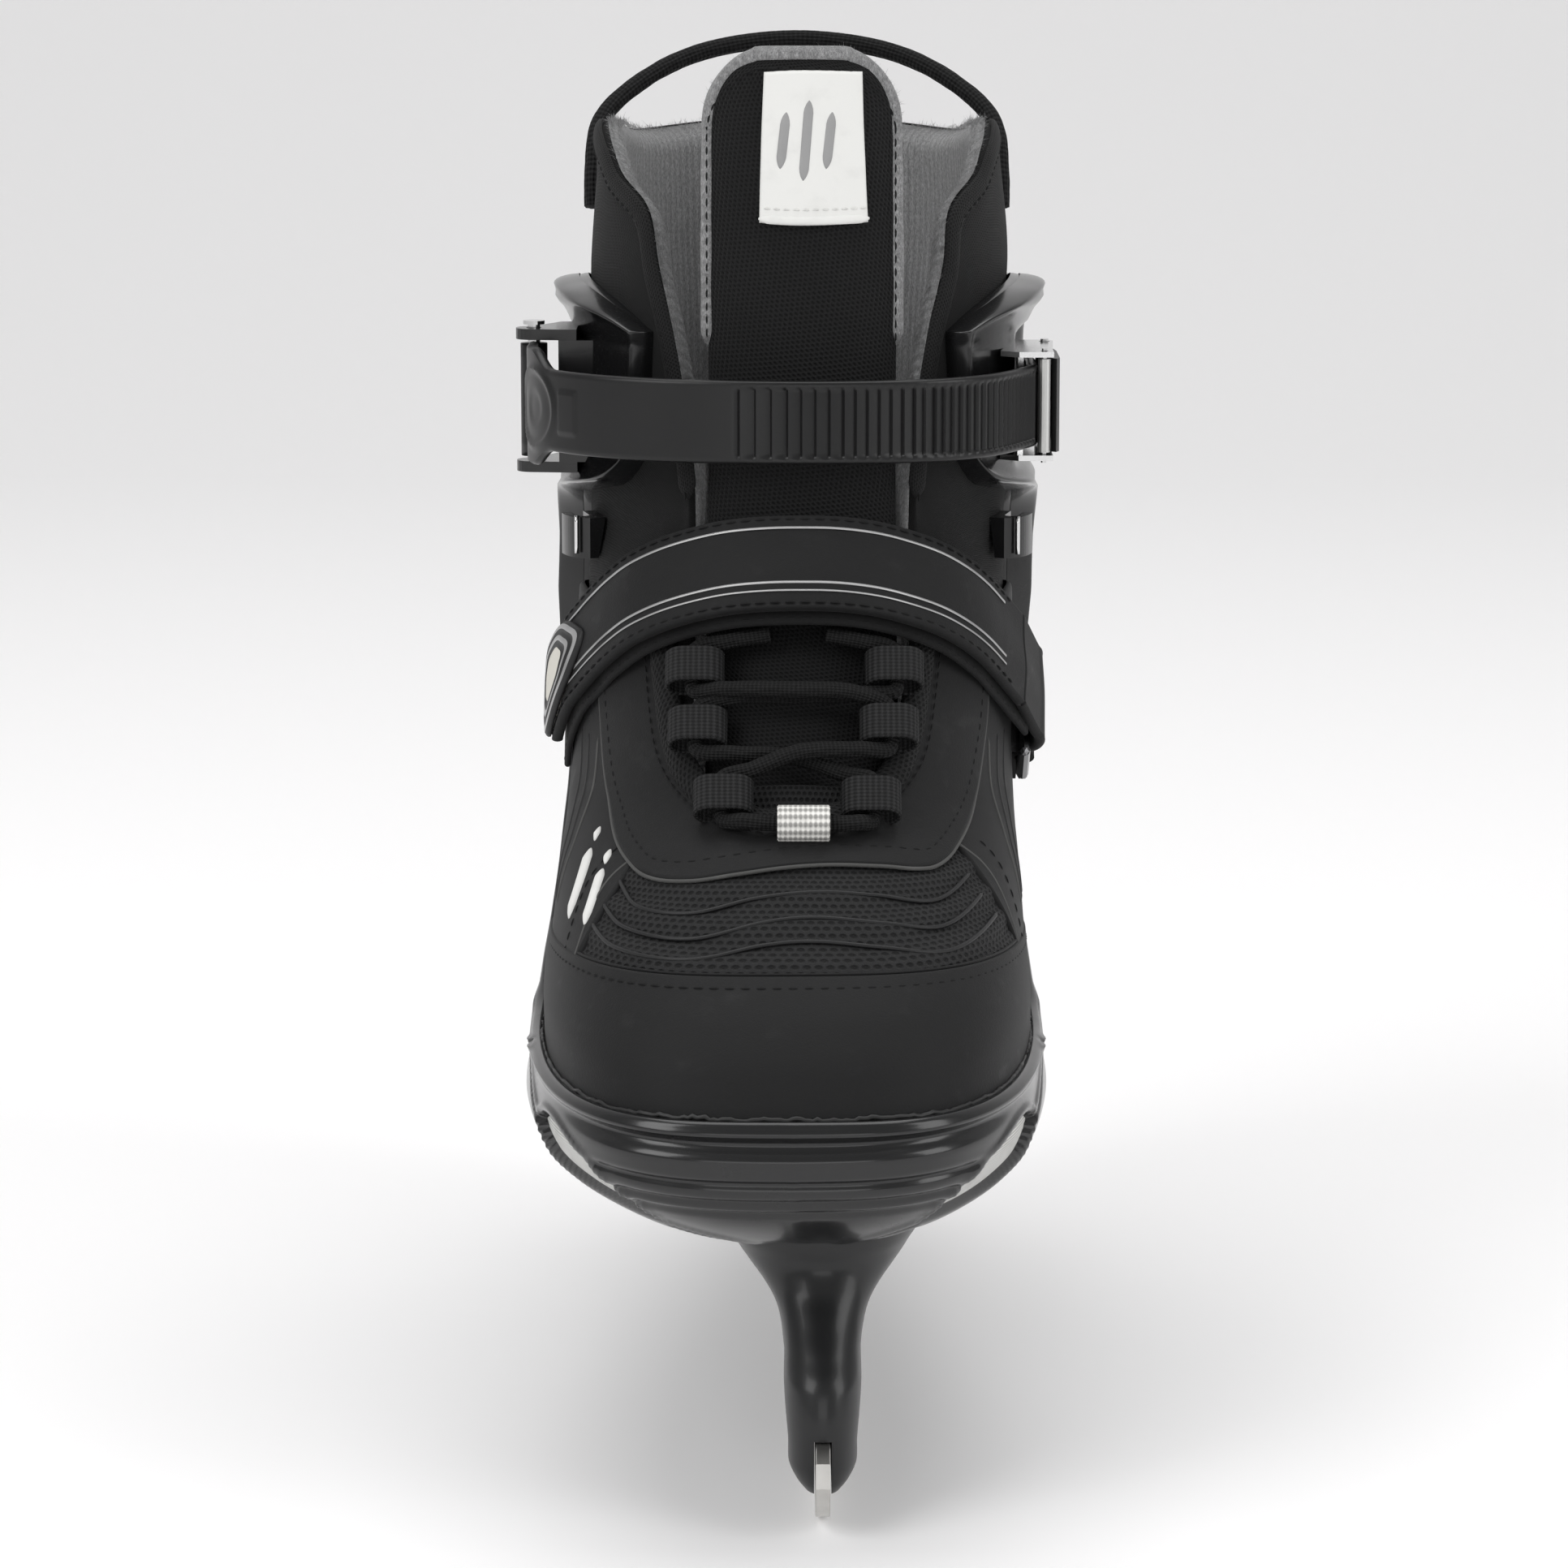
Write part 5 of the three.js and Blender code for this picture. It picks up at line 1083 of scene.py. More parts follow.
def shaft_dents(turn, z, border):
    """Slow padding swells, and the fold lines where the ankle bends."""
    slow = 0.7 * np.sin(turn * 3.3 + 1.1) * np.sin(z * 0.075 + turn * 1.4)
    creases = 0.32 * np.sin(z * 0.42 + 1.6 * np.sin(turn * 3)) * np.exp(-(((z - 192) / 16) ** 2))
    return (slow + creases - 0.5) * np.clip(border / 9, 0, 1)


collar = round_back(COLLAR_FRONT, COLLAR_SIDE, 277.2)
shaft = panel("shaft_cloth", shaft_foot, collar, 2.2, -2.0, 3.0, 2.0, shaft_dents)
shaft.data.materials.append(neoprene)
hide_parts("shaft_outer")
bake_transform(shaft)


def fleece(name, colour, rib=0.0024, axis=0):
    """Brushed ribbed fleece: soft vertical ribs, loose fibres and worn tufts."""
    made, tree, shader, place, uv = finish(name, colour, 0.95, Sheen_Weight=0.25)
    shader.inputs["Sheen Roughness"].default_value = 0.45
    split = link(tree, "ShaderNodeSeparateXYZ", {0: uv})
    wander = noise(tree, place, 0.004, 3)
    across = maths(tree, "MULTIPLY_ADD", wander, rib * 0.5, split.outputs[axis])
    rib_wave = maths(tree, "SINE", maths(tree, "MULTIPLY", across, 2 * np.pi / rib))
    fibres = noise(tree, place, 0.0003, 6, 0.8, (1, 1, 0.35))
    tufts = noise(tree, place, 0.0016, 5, 0.75)
    dark, light = tuple(c * 0.42 for c in colour), tuple(c * 1.5 for c in colour)
    tone = mixed(tree, ramp(tree, fibres, 0.35, 0.7), dark, light)
    tone = mixed(tree, ramp(tree, rib_wave, -0.9, 0.1, 0.3, 0), tone, tuple(c * 0.45 for c in colour))
    height = maths(tree, "MULTIPLY_ADD", fibres, 0.9, maths(tree, "MULTIPLY_ADD", rib_wave, 0.35, tufts))
    wire(tree, shader, Base_Color=tone, Normal=bump(tree, height, 1.0, 0.0008).outputs[0])
    return made


grey_fleece = fleece("grey_fleece", (0.46, 0.46, 0.465))
lining_top = [(t, z + 0.4) for t, z in collar]
lining = panel("shaft_lining_fleece", shaft_foot, lining_top, -5.2, -1.6, 4.5, 1.7)
lining.data.materials.append(grey_fleece)
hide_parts("shaft_lining")
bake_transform(lining)


def fibres(name, places, normals, count, reach, seed, radius=0.045):
    """Loose fibres standing off an edge, each a thin bent wedge."""
    rng = np.random.default_rng(seed)
    pick = rng.integers(0, len(places) - 1, count)
    share = rng.random(count)[:, None]
    base = places[pick] * (1 - share) + places[pick + 1] * share
    base = base + rng.normal(0, 0.35, (count, 3))
    way = unit(normals[pick] + rng.normal(0, 0.55, (count, 3)))
    bend = rng.normal(0, 0.3, (count, 3))
    long = reach * rng.uniform(0.35, 1.15, count)[:, None]
    side = unit(np.cross(way, rng.normal(0, 1, (count, 3))))
    other = np.cross(way, side)
    points, faces = [], []
    for level, fat in ((0, 1.0), (0.55, 0.8), (1.0, 0.12)):
        middle = base + (way + bend * level) * long * level
        for k in range(3):
            angle = 2 * np.pi * k / 3
            points.append(middle + (side * np.cos(angle) + other * np.sin(angle)) * radius * fat)
    points = np.stack(points, 1)
    for i in range(count):
        at = 9 * i
        for level in (0, 3):
            for k in range(3):
                n = (k + 1) % 3
                faces.append((at + level + k, at + level + n, at + level + 3 + n, at + level + 3 + k))
    mesh = bpy.data.meshes.new(name)
    mesh.from_pydata((points.reshape(-1, 3) * MM).tolist(), [], faces)
    return shown(name, mesh)


def fuzz_line(name, line, out, count, reach, seed):
    centre, up = line_on_skin(line, out, 0.8)
    lean = unit(up * 0.8 + np.array([0, 0, 0.9]))
    made = fibres(name, centre, lean, count, reach, seed)
    made.data.materials.append(grey_fleece)
    return made


collar_fuzz = fuzz_line("collar_fuzz", lining_top, -2.6, 2600, 1.5, 3)
collar_fuzz_low = fuzz_line("collar_fuzz_low", [(t, z) for t, z in lining_top], -4.6, 2000, 1.4, 4)
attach(collar_fuzz, "cuff")
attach(collar_fuzz_low, "cuff")

# The binding: a narrow black tape, folded over the collar's edge and stitched down.
tape = knit("binding_tape", (0.007, 0.007, 0.0072), 0.0009, 0.0003)
collar_tape = binding_tube("collar_binding", [(t, z - 1.8) for t, z in collar], 0.1, 4.6, 1.0)
collar_tape.data.materials.append(tape)
collar_row = stitched("collar_stitches", [(t, z - 3.6) for t, z in collar], 0.9, length=1.9)
for piece in (collar_tape, collar_row):
    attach(piece, "cuff")


# ---------------------------------------------------------------- foot lining and insole
# The foot's fleece lining, glued inside the upper, and a loose foam insole with a cloth top.

ring_turns = np.linspace(0, 2 * np.pi, 160, endpoint=False)
lining_z = np.linspace(80, 154, 34)
turns_2d, z_2d = np.meshgrid(ring_turns, lining_z)
inner_wall = skin(turns_2d, z_2d, -6.6)
foot_lining = grid("foot_lining_fleece", inner_wall, across=True)


def open_throat(bm):
    """Takes out the lining under the lacing, where the tongue lies."""
    gone = [f for f in bm.faces if f.calc_center_median().z > 0.14 and f.calc_center_median().y < -0.05]
    bmesh.ops.delete(bm, geom=gone, context="FACES")


edit(foot_lining, open_throat)
flip(foot_lining)
foot_lining.data.materials.append(grey_fleece)
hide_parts("foot_lining")
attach(foot_lining, "boot")


def insole_points():
    """Rings of the insole from the middle of its top, over its rolled edge, to its underside."""
    edge = skin(ring_turns, np.full_like(ring_turns, 84.0), -8.6)
    middle = edge.mean(0)
    rings = []
    for share in (0.02, 0.2, 0.45, 0.7, 0.86, 0.95):
        p = middle + (edge - middle) * share
        p[:, 2] = 84.9 + 0.3 * share**3 + 0.25 * np.sin(p[:, 1] * 0.03)
        rings.append(p)
    for out, z in ((0.99, 84.8), (1.0, 83.8), (1.0, 82.2), (0.99, 81.5), (0.7, 81.4), (0.02, 81.4)):
        p = middle + (edge - middle) * out
        p[:, 2] = z
        rings.append(p)
    return np.array(rings)


insole = edit(grid("insole_foam", insole_points(), across=True), cap)
insole.data.materials.append(knit("insole_cloth", (0.05, 0.05, 0.052), 0.0008, 0.0002))
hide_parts("insole")
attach(insole, "boot")

# ---------------------------------------------------------------- tongue
# The tongue: one long foam pad in black knit, backed and edged with the same grey fleece.
# It is sewn in at the toe end and bends with the shaft. A rubber label is sewn near the top.

TONGUE_MIDDLE = -4.0
TONGUE_HALF_WIDTH = 23.0


def tongue_half(z):
    low = TONGUE_HALF_WIDTH * np.sqrt(np.clip(1 - (1 - np.clip((z - 138.2) / 13, 0, 1)) ** 2, 0.02, 1))
    top = TONGUE_HALF_WIDTH - 15 + np.sqrt(np.clip(15**2 - np.clip(z - 283.6, 0, 15) ** 2, 0.5, None))
    return np.minimum(low, top)


def tongue_points():
    rings = []
    heights = np.concatenate([138.4 + 12 * np.linspace(0, 1, 10) ** 1.6, np.linspace(152, 283, 90)])
    heights = np.concatenate([heights, 283.6 + 15 * np.sin(np.linspace(0.08, np.pi / 2, 16))])
    for z in heights:
        half = float(tongue_half(z))
        across = half * np.sin(np.linspace(-np.pi / 2, np.pi / 2, 34))
        share = across / half
        round_edge = np.sqrt(np.clip(1 - np.abs(share) ** 5, 0, 1))
        end = np.clip((298.9 - z) / 4, 0.15, 1) ** 0.5
        swell = 0.35 * np.sin(z * 0.21) * (1 - share**2)
        top = -5.0 + (3.6 + swell) * round_edge * end
        low = -5.0 - 3.4 * round_edge * end
        turn = front(TONGUE_MIDDLE + across, np.full_like(across, z))
        face = skin(turn, np.full_like(across, z), top)
        back = skin(turn, np.full_like(across, z), low)
        rings.append(np.vstack([face, back[::-1][1:-1]]))
    return np.array(rings)


tongue_knit = knit("tongue_knit", (0.0065, 0.0065, 0.0068), 0.0013, 0.00035, 0.8, 0.78)
tongue = edit(grid("tongue_pad", tongue_points(), across=True), cap)
tongue.data.materials.append(tongue_knit)
tongue.data.materials.append(fleece("tongue_fleece", (0.46, 0.46, 0.465), 0.0024, 1))


def back_in_fleece(bm):
    """Gives the tongue's back face the fleece."""
    for face in bm.faces:
        if face.normal.y > 0.25:
            face.material_index = 1


edit(tongue, back_in_fleece)
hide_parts("tongue_lower", "tongue_upper")
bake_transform(tongue)


def tongue_rim_line(low):
    """The tongue's outline from its right side over the top to its left, in direction and height."""
    heights = np.concatenate([np.linspace(low, 283, 20), 283.6 + 15 * np.sin(np.linspace(0.1, 1.45, 9))])
    right = [(float(front(TONGUE_MIDDLE + float(tongue_half(z)) - 0.6, z)), z) for z in heights]
    left = [(float(front(TONGUE_MIDDLE - float(tongue_half(z)) + 0.6, z)), z) for z in heights]
    return right + left[::-1]


rim_line = tongue_rim_line(236)
rim = binding_tube("tongue_fleece_rim", rim_line, -4.6, 3.8, 2.4)
rim.data.materials.append(grey_fleece)
fuzz = fuzz_line("tongue_fuzz", rim_line, -2.9, 2400, 1.5, 5)
inside_rim = [(t * 0.93 - 0.004, z - (3.2 if z > 284 else 0)) for t, z in rim_line]
tongue_row = stitched("tongue_stitches", inside_rim, -1.1, length=1.9)
for piece in (rim, fuzz, tongue_row):
    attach(piece, "cuff")

LABEL_FOOT = [(-13.6, 262.6), (-9, 262.3), (-4, 262.2), (3, 262.3), (10.6, 262.6)]
LABEL_HEAD = [(-12.6, 294.6), (-8, 294.9), (-4, 295), (2, 294.9), (9.4, 294.6)]
label = panel("tongue_label_rubber", on_front(LABEL_FOOT), on_front(LABEL_HEAD), 0.9, -1.3, 0.8, 1.0)
label.data.materials.append(white_rubber)
fold_line = on_front([(-13.6, 263.4), (-4, 263.0), (10.6, 263.4)])
fold = edging("label_fold", fold_line, -0.55, 2.0, 0.5, 0.6)
fold.data.materials.append(white_rubber)
white_thread = spun("white_thread", (0.62, 0.62, 0.6))
row_line = on_front([(-13, 265.6), (-4, 265.3), (10, 265.6)])
label_row = stitched("label_stitches", row_line, -0.3, length=1.5, gap=0.6)
label_row.data.materials.clear()
label_row.data.materials.append(white_thread)
grey_print = rubber("grey_rubber_print", (0.3, 0.3, 0.3))
bars = []
for x, low, high in ((-8.2, 274, 286), (-3.2, 271.5, 288.5), (1.8, 274, 286)):
    bar_line = on_front([(x - 0.7, low), (x, (low + high) / 2), (x + 0.7, high)])
    bars.append(edging("label_bar", bar_line, -0.5, 2.2, 0.45, 0.8))
bars = joined("label_bars", bars)
bars.data.materials.clear()
bars.data.materials.append(grey_print)
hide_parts("tongue_label")
for piece in (label, fold, label_row, bars):
    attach(piece, "cuff")

# ---------------------------------------------------------------- ankle cuff
# The cuff: one moulded gloss-black collar round the back of the ankle, riveted on at both sides.
# Its front wings step in to a rounded recess for the ankle strap, with a raised flange round it.

CUFF_LEVELS = [130, 172, 186, 199, 205.5, 209, 235, 239, 243, 252, 266]
CUFF_OUT = [7.8, 7.8, 6.9, 6.8, 5.4, 4.1, 4.1, 5.4, 7.0, 7.6, 6.9]


def cuff_side(side):
    """The lower and upper edge of one side of the cuff, (along, up), from its front wing back."""
    low = [(-21.5, 211), (-16, 204.5), (-6, 202), (6, 200), (24, 196), (38, 182), (44.5, 165)]
    low += [(48, 147), (56, 137)]
    low += [(65, 134.5), (76, 137.5), (84, 148), (90, 163), (98, 174), (108, 178.5)]
    high = [(-21, 238), (-14, 241.5), (-4, 244.4), (8, 246), (26, 246.8), (46, 244), (60, 243.5)]
    high += [(76, 246), (94, 253), (108, 255.6)]
    low, high = on_side(side, low), on_side(side, high)
    if side < 0:
        low, high = [[(2 * np.pi + t, z) for t, z in line][::-1] for line in (low, high)]
    return low, high


right, left = cuff_side(1), cuff_side(-1)
cuff_low = right[0] + [(np.pi, 181.5)] + left[0]
cuff_high = right[1] + [(np.pi, 256.6)] + left[1]


def cuff_relief(turn, z, border):
    """The recess round the strap, the flanges above and below it, and a stiffening rim."""
    out = np.interp(z, CUFF_LEVELS, CUFF_OUT) - 5.0
    flange = 0.8 * np.exp(-(((z - 202.2) / 1.3) ** 2)) + 0.8 * np.exp(-(((z - 242.6) / 1.3) ** 2))
    rim = 0.7 * np.exp(-(((border - 2.2) / 1.2) ** 2))
    panel_line = 0.5 * ease(border, 6.5, 8) * (1 - ease(z, 186, 190))
    return out + (flange + rim) * np.clip(border / 1.5, 0, 1) - panel_line


def cuff_inside(turn, z, border):
    return np.interp(z, CUFF_LEVELS, CUFF_OUT) - 7.1


def seat_buckle(bm):
    """Presses the flat seat of the buckle into the inner side, with soft edges."""
    for v in bm.verts:
        x, y, z = v.co / MM
        if x < 30:
            continue
        inside = min(ease(y, -30, -23), 1 - ease(y, 22, 30), ease(z, 204.5, 208), 1 - ease(z, 234, 237.5))
        v.co.x = (x + (min(x, 43.4) - x) * float(inside)) * MM


cuff = panel("ankle_cuff_moulding", cuff_low, cuff_high, 5.0, 0.25, 1.4, 1.6, cuff_relief)
cuff_back = flip(panel("ankle_cuff_inside", cuff_low, cuff_high, 2.2, 0.2, 0.8, 3.0, cuff_inside))
edit(cuff, seat_buckle)
cuff.data.materials.append(gloss_black)
cuff_back.data.materials.append(gloss_black)
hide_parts("ankle_cuff")
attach(cuff, "cuff")
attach(cuff_back, "cuff")
chrome = steel("chrome", (0.68, 0.68, 0.68), 0.12, (1, 1, 1), 0.5)
dark_chrome = steel("dark_chrome", (0.22, 0.22, 0.225), 0.2, (1, 1, 1), 0.6)
for node in ("hinge_pin_outer", "hinge_pin_inner"):
    dress(node, dark_chrome, 0.6)

# ---------------------------------------------------------------- ankle strap
# The ratchet strap: moulded satin plastic, smooth at the left and toothed towards the buckle.
# Its wide end is pinned in a bracket on the cuff, with a raised oval round the pin's plate.

satin_black = plastic("satin_black", (0.008, 0.008, 0.0083), 0.33, wear=1.2)
STRAP_WAY = [(-63.5, 0), (-63.1, -11), (-58, -23), (-47, -34), (-31, -42), (-12, -45.6), (7, -45.4)]
STRAP_WAY += [(23.5, -41.6), (36.5, -32), (45.8, -15), (46.5, -8), (46.8, 0), (46.5, 8), (45.8, 15)]
STRAP_MIDDLE = 221.0


def tooth_height(run, x, high):
    """The depth of the teeth at a place: none at the left, finer towards the buckle."""
    pitch = np.interp(x, [-18, 10, 46], [3.6, 2.6, 1.8])
    phase = np.cumsum(np.gradient(run) / pitch)
    saw = 1 - phase % 1.0
    toothed = ease(x, -19, -17)[:, None] * ease(9 - np.abs(high), 1.2, 1.9)
    return -0.85 * (1 - saw[:, None] ** 0.8) * toothed


def strap_points():
    line = spline([(x, y, 0) for x, y in STRAP_WAY], 420)[:, :2]
    run = lengths(np.linalg.norm(np.diff(line, axis=0), axis=1))
    run = run / MM
    way = unit(np.gradient(line, axis=0))
    out = np.stack([way[:, 1], -way[:, 0]], 1)
    half = 9 + 4 * (1 - ease(run, 14, 24))
    share = np.concatenate([[-1, -0.985, -0.95], np.linspace(-0.9, 0.9, 31), [0.95, 0.985, 1]])
    high = half[:, None] * share[None]
    edge = np.clip((half[:, None] - np.abs(high)) / 0.8, 0, 1)
    face = 1.2 * np.sqrt(1 - (1 - edge) ** 2) + tooth_height(run, line[:, 0], high)
    far = np.sqrt(((run[:, None] - 16) / 9.5) ** 2 + (high / 8.6) ** 2)
    face += 0.5 * np.exp(-(((far - 1) / 0.09) ** 2)) - 0.35 * np.exp(-((far / 0.42) ** 6))
    face += 0.35 * ease(3.2 - np.abs(run[:, None] - 30), 0, 0.7) * ease(5 - np.abs(high), 0, 0.7)
    back = -1.2 * np.sqrt(1 - (1 - edge) ** 2)
    ends = np.clip(np.minimum(run, run[-1] - run) / 1.5, 0.1, 1)[:, None] ** 0.5
    points = []
    for level, order in ((face * ends, 1), (back * ends, -1)):
        spot = line[:, None] + out[:, None] * level[..., None]
        rows = np.concatenate([spot, (STRAP_MIDDLE + high)[..., None]], 2)
        points.append(rows if order > 0 else rows[:, ::-1][:, 1:-1])
    return np.concatenate(points, 1)


strap = edit(grid("ratchet_strap_moulding", strap_points(), across=True), cap)
sharp(strap, 38)
strap.data.materials.append(satin_black)
knuckle_heights = np.linspace(208.5, 233.5, 9)
knuckle_line = np.stack([np.full(9, -63.5), np.zeros(9), knuckle_heights], 1)
knuckle = sweep("strap_knuckle", knuckle_line, np.tile([1.0, 0, 0], (9, 1)), circle(3.0, 24))
knuckle.data.materials.append(satin_black)
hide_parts("ankle_strap")
for piece in (strap, knuckle):
    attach(piece, "ratchet_strap")
dress("strap_bracket", gloss_black, 0.7)
dress("strap_hinge_pin", chrome, 0.5)

# ---------------------------------------------------------------- buckle
# The ratchet buckle: a chromed steel base with two ears, a black lever and a steel pawl on pins.

dress("buckle_base", chrome, 0.5)
dress("buckle_lever", satin_black, 0.6)
dress("buckle_pawl", zinc, 0.25)
for node in ("buckle_lever_pin", "buckle_pawl_pin"):
    dress(node, chrome, 0.25)

# ---------------------------------------------------------------- instep strap
# The instep closure: two layers of coated synthetic strap, one over the other, across the instep.
# Both are stitched near their edges; the outer one is printed with three silver lines.

SLOPE = np.array([[-0.7848, 0.6198], [0.6198, 0.7848]])
ARCH = [(-55.6, 94), (-54.4, 106), (-51.4, 119), (-47.2, 128), (-43.2, 136.4), (-34.6, 147.6), (-20, 156)]
ARCH += [(-4, 158), (10, 156), (23.8, 147.6), (32.2, 136.4), (36.2, 128), (40.2, 119), (45.7, 106)]


def instep(points):
    """Places (across, out, up) in the instep's own slanted frame as skate points."""
    points = np.asarray(points, float)
    made = points.copy()
    made[..., 1] = SLOPE[0, 0] * points[..., 1] + SLOPE[0, 1] * points[..., 2]
    made[..., 2] = SLOPE[1, 0] * points[..., 1] + SLOPE[1, 1] * points[..., 2]
    return made


def arch_line(start, end, count, more=()):
    """The strap's way over the instep: places and outward directions, (across, out)."""
    flat = spline([(x, o, 0) for x, o in ARCH], 300)[:, :2]
    flat = flat[int(299 * start) : int(299 * end) + 1]
    if len(more):
        flat = np.vstack([flat, more])
    far = np.concatenate([[0], np.cumsum(np.linalg.norm(np.diff(flat, axis=0), axis=1))])
    at = shares(far[-1], far[-1] / count, 0.9) * far[-1]
    line = np.stack([np.interp(at, far, flat[:, k]) for k in (0, 1)], 1)
    way = unit(np.gradient(line, axis=0))
    return line, np.stack([-way[:, 1], way[:, 0]], 1), at


def band(name, line, out, low, high, inner, outer, relief=None):
    """A flat strap along the line with rounded edges."""
    share = shares(high - low, 0.9, 0.8)
    ups = low + (high - low) * share
    edge = np.clip(np.minimum(ups - low, high - ups) / 0.8, 0, 1)
    roll = np.sqrt(1 - (1 - edge) ** 2)
    middle = (inner + outer) / 2
    faces = []
    for level, order in ((outer, 1), (inner, -1)):
        height = middle + (level - middle) * roll[None] * np.ones((len(line), 1))
        if order > 0 and relief is not None:
            height = height + relief(np.arange(len(line))[:, None] / len(line), ups[None]) * (edge > 0.9)
        spot = line[:, None] + out[:, None] * height[..., None]
        rows = np.concatenate([spot, np.broadcast_to(ups[None, :, None], spot.shape[:2] + (1,))], 2)
        faces.append(rows if order > 0 else rows[:, ::-1][:, 1:-1])
    made = edit(grid(name, instep(np.concatenate(faces, 1)), across=True), cap)
    return made


def band_row(name, line, out, up, level, **sizes):
    centre = instep(np.concatenate([line + out * level, np.full((len(line), 1), up)], 1))
    normal = instep(np.concatenate([out, np.zeros((len(line), 1))], 1))
    return stitching(name, centre, normal, **sizes)


def strap_give(share, up):
    """The strap's slow waves, and the sag between its stitch rows."""
    return 0.16 * np.sin(share * 17) * np.sin(up * 0.4) + 0.14 * np.cos((up - 117) * 0.26)


under_line, under_out, _ = arch_line(0, 0.985, 150)
under = band("instep_under_layer", under_line, under_out, 103.5, 128, 0.05, 1.5)
under.data.materials.append(synthetic("under_strap_synthetic", (0.0065, 0.0065, 0.0067), 0.8))
under_rows = [band_row("under_stitches", under_line, under_out, up, 1.45) for up in (104.6, 126.9)]
under_rows = joined("under_stitches", under_rows)
under_rows.data.materials.append(thread)
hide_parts("instep_under_strap")
for piece in (under, under_rows):
    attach(piece, "boot")

# The outer layer's end folds back round the ring's upper bar.
RING_FOLD = [(47.6, 106.5), (48.6, 103.8), (48.8, 101.2), (48.0, 98.9), (46.2, 97.6), (44.2, 97.6)]
RING_FOLD += [(42.6, 98.8), (42.0, 100.8)]
over, over_out, _ = arch_line(0.05, 0.93, 60)
over = (over + over_out * 3.48)[::3]
flap_line = spline([(x, o, 0) for x, o in [*over, *RING_FOLD]], 260)[:, :2]
flap_way = unit(np.gradient(flap_line, axis=0))
flap_out = np.stack([-flap_way[:, 1], flap_way[:, 0]], 1)
flap = band("instep_strap_outer", flap_line, flap_out, 105.5, 128.5, -1.3, 1.3, strap_give)
flap.data.materials.append(matte_black)
flap_rows = []
for up in (106.8, 127.2):
    flap_rows.append(band_row("flap_stitches", flap_line[:-50], flap_out[:-50], up, 1.35))
flap_rows = joined("flap_stitches", flap_rows)
flap_rows.data.materials.append(thread)
silver_print = steel("silver_print", (0.5, 0.5, 0.5), 0.42, (1, 1, 1), 1.4)


def pinstripe(up, width, start=8, end=-58):
    line, out = flap_line[start:end], flap_out[start:end]
    centre = instep(np.concatenate([line + out * 1.33, np.full((len(line), 1), up)], 1))
    normal = instep(np.concatenate([out, np.zeros((len(line), 1))], 1))
    profile = [(-width / 2, 0.0), (-width / 2, 0.16), (width / 2, 0.16), (width / 2, 0.0)]
    return sweep("pinstripe", centre, normal, profile)


stripes = joined("silver_pinstripes", [pinstripe(125.0, 0.55), pinstripe(111.6, 0.55), pinstripe(109.6, 0.4)])
stripes.data.materials.append(silver_print)
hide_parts("instep_strap")
for piece in (flap, flap_rows, stripes):
    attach(piece, "flap")

# The pull tab: a pointed rubber tab welded on the strap's free end, with printed outlines.
TAB = np.array([(96.2, 112.3), (100, 108.4), (104, 106.2), (113, 107), (122, 109), (127, 112.6), (130.6, 117)])
TAB = np.vstack([TAB, [(x, 234 - u) for x, u in TAB[::-1][1:]]])


def tab_rings():
    """Rings of the tab from its middle out to its rolled edge: (out, up, height)."""
    loop = np.vstack([TAB, TAB[:1]])
    edge = spline([(a, b, 0) for a, b in loop], 120)[:-1, :2]
    middle = np.array([114.0, 117.0])
    rings = []
    heights = {0.02: 1.35, 0.25: 1.4, 0.4: 1.45, 0.46: 1.5, 0.5: 1.2, 0.56: 1.2, 0.6: 1.55, 0.7: 1.6, 0.74: 1.2}
    heights |= {0.79: 1.2, 0.83: 1.5, 0.93: 1.35, 0.98: 0.9, 1.0: 0.4, 0.99: -0.1}
    for share, height in heights.items():
        rings.append(np.concatenate([middle + (edge - middle) * share, np.full((len(edge), 1), height)], 1))
    return np.array(rings)


def tab_points():
    rings = tab_rings()
    dense = spline([(x, o, 0) for x, o in ARCH], 400)[:, :2]
    way = unit(np.gradient(dense, axis=0))
    out = np.stack([-way[:, 1], way[:, 0]], 1)
    left = slice(0, 180)
    base = dense[left] + out[left] * 5.0
    x = np.interp(rings[..., 0], base[:, 1], base[:, 0])
    normal = np.stack([np.interp(rings[..., 0], base[:, 1], out[left, k]) for k in (0, 1)], -1)
    spot = np.stack([x, rings[..., 0]], -1) + normal * rings[..., 2:]
    return instep(np.concatenate([spot, rings[..., 1:2]], -1))


tab = grid("pull_tab_moulding", tab_points(), across=True)
edit(tab, cap)
black_rubber = rubber("black_rubber", (0.014, 0.014, 0.0145))
cream = rubber("cream_rubber", (0.62, 0.6, 0.54))
for material in (black_rubber, silver_print, cream):
    tab.data.materials.append(material)
for face in tab.data.polygons:
    ring_at = min(face.vertices) // 119
    face.material_index = {0: 2, 1: 2, 2: 2, 6: 1, 10: 1}.get(ring_at, 0) if len(face.vertices) == 4 else 2
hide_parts("pull_tab")
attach(tab, "flap")

# The ring: bent dark chrome wire, held down by a folded webbing tab sewn to the boot.
dress("strap_ring", dark_chrome, 0)
smooth_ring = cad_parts["strap_ring"]
smooth_ring.data.polygons.foreach_set("use_smooth", [True] * len(smooth_ring.data.polygons))


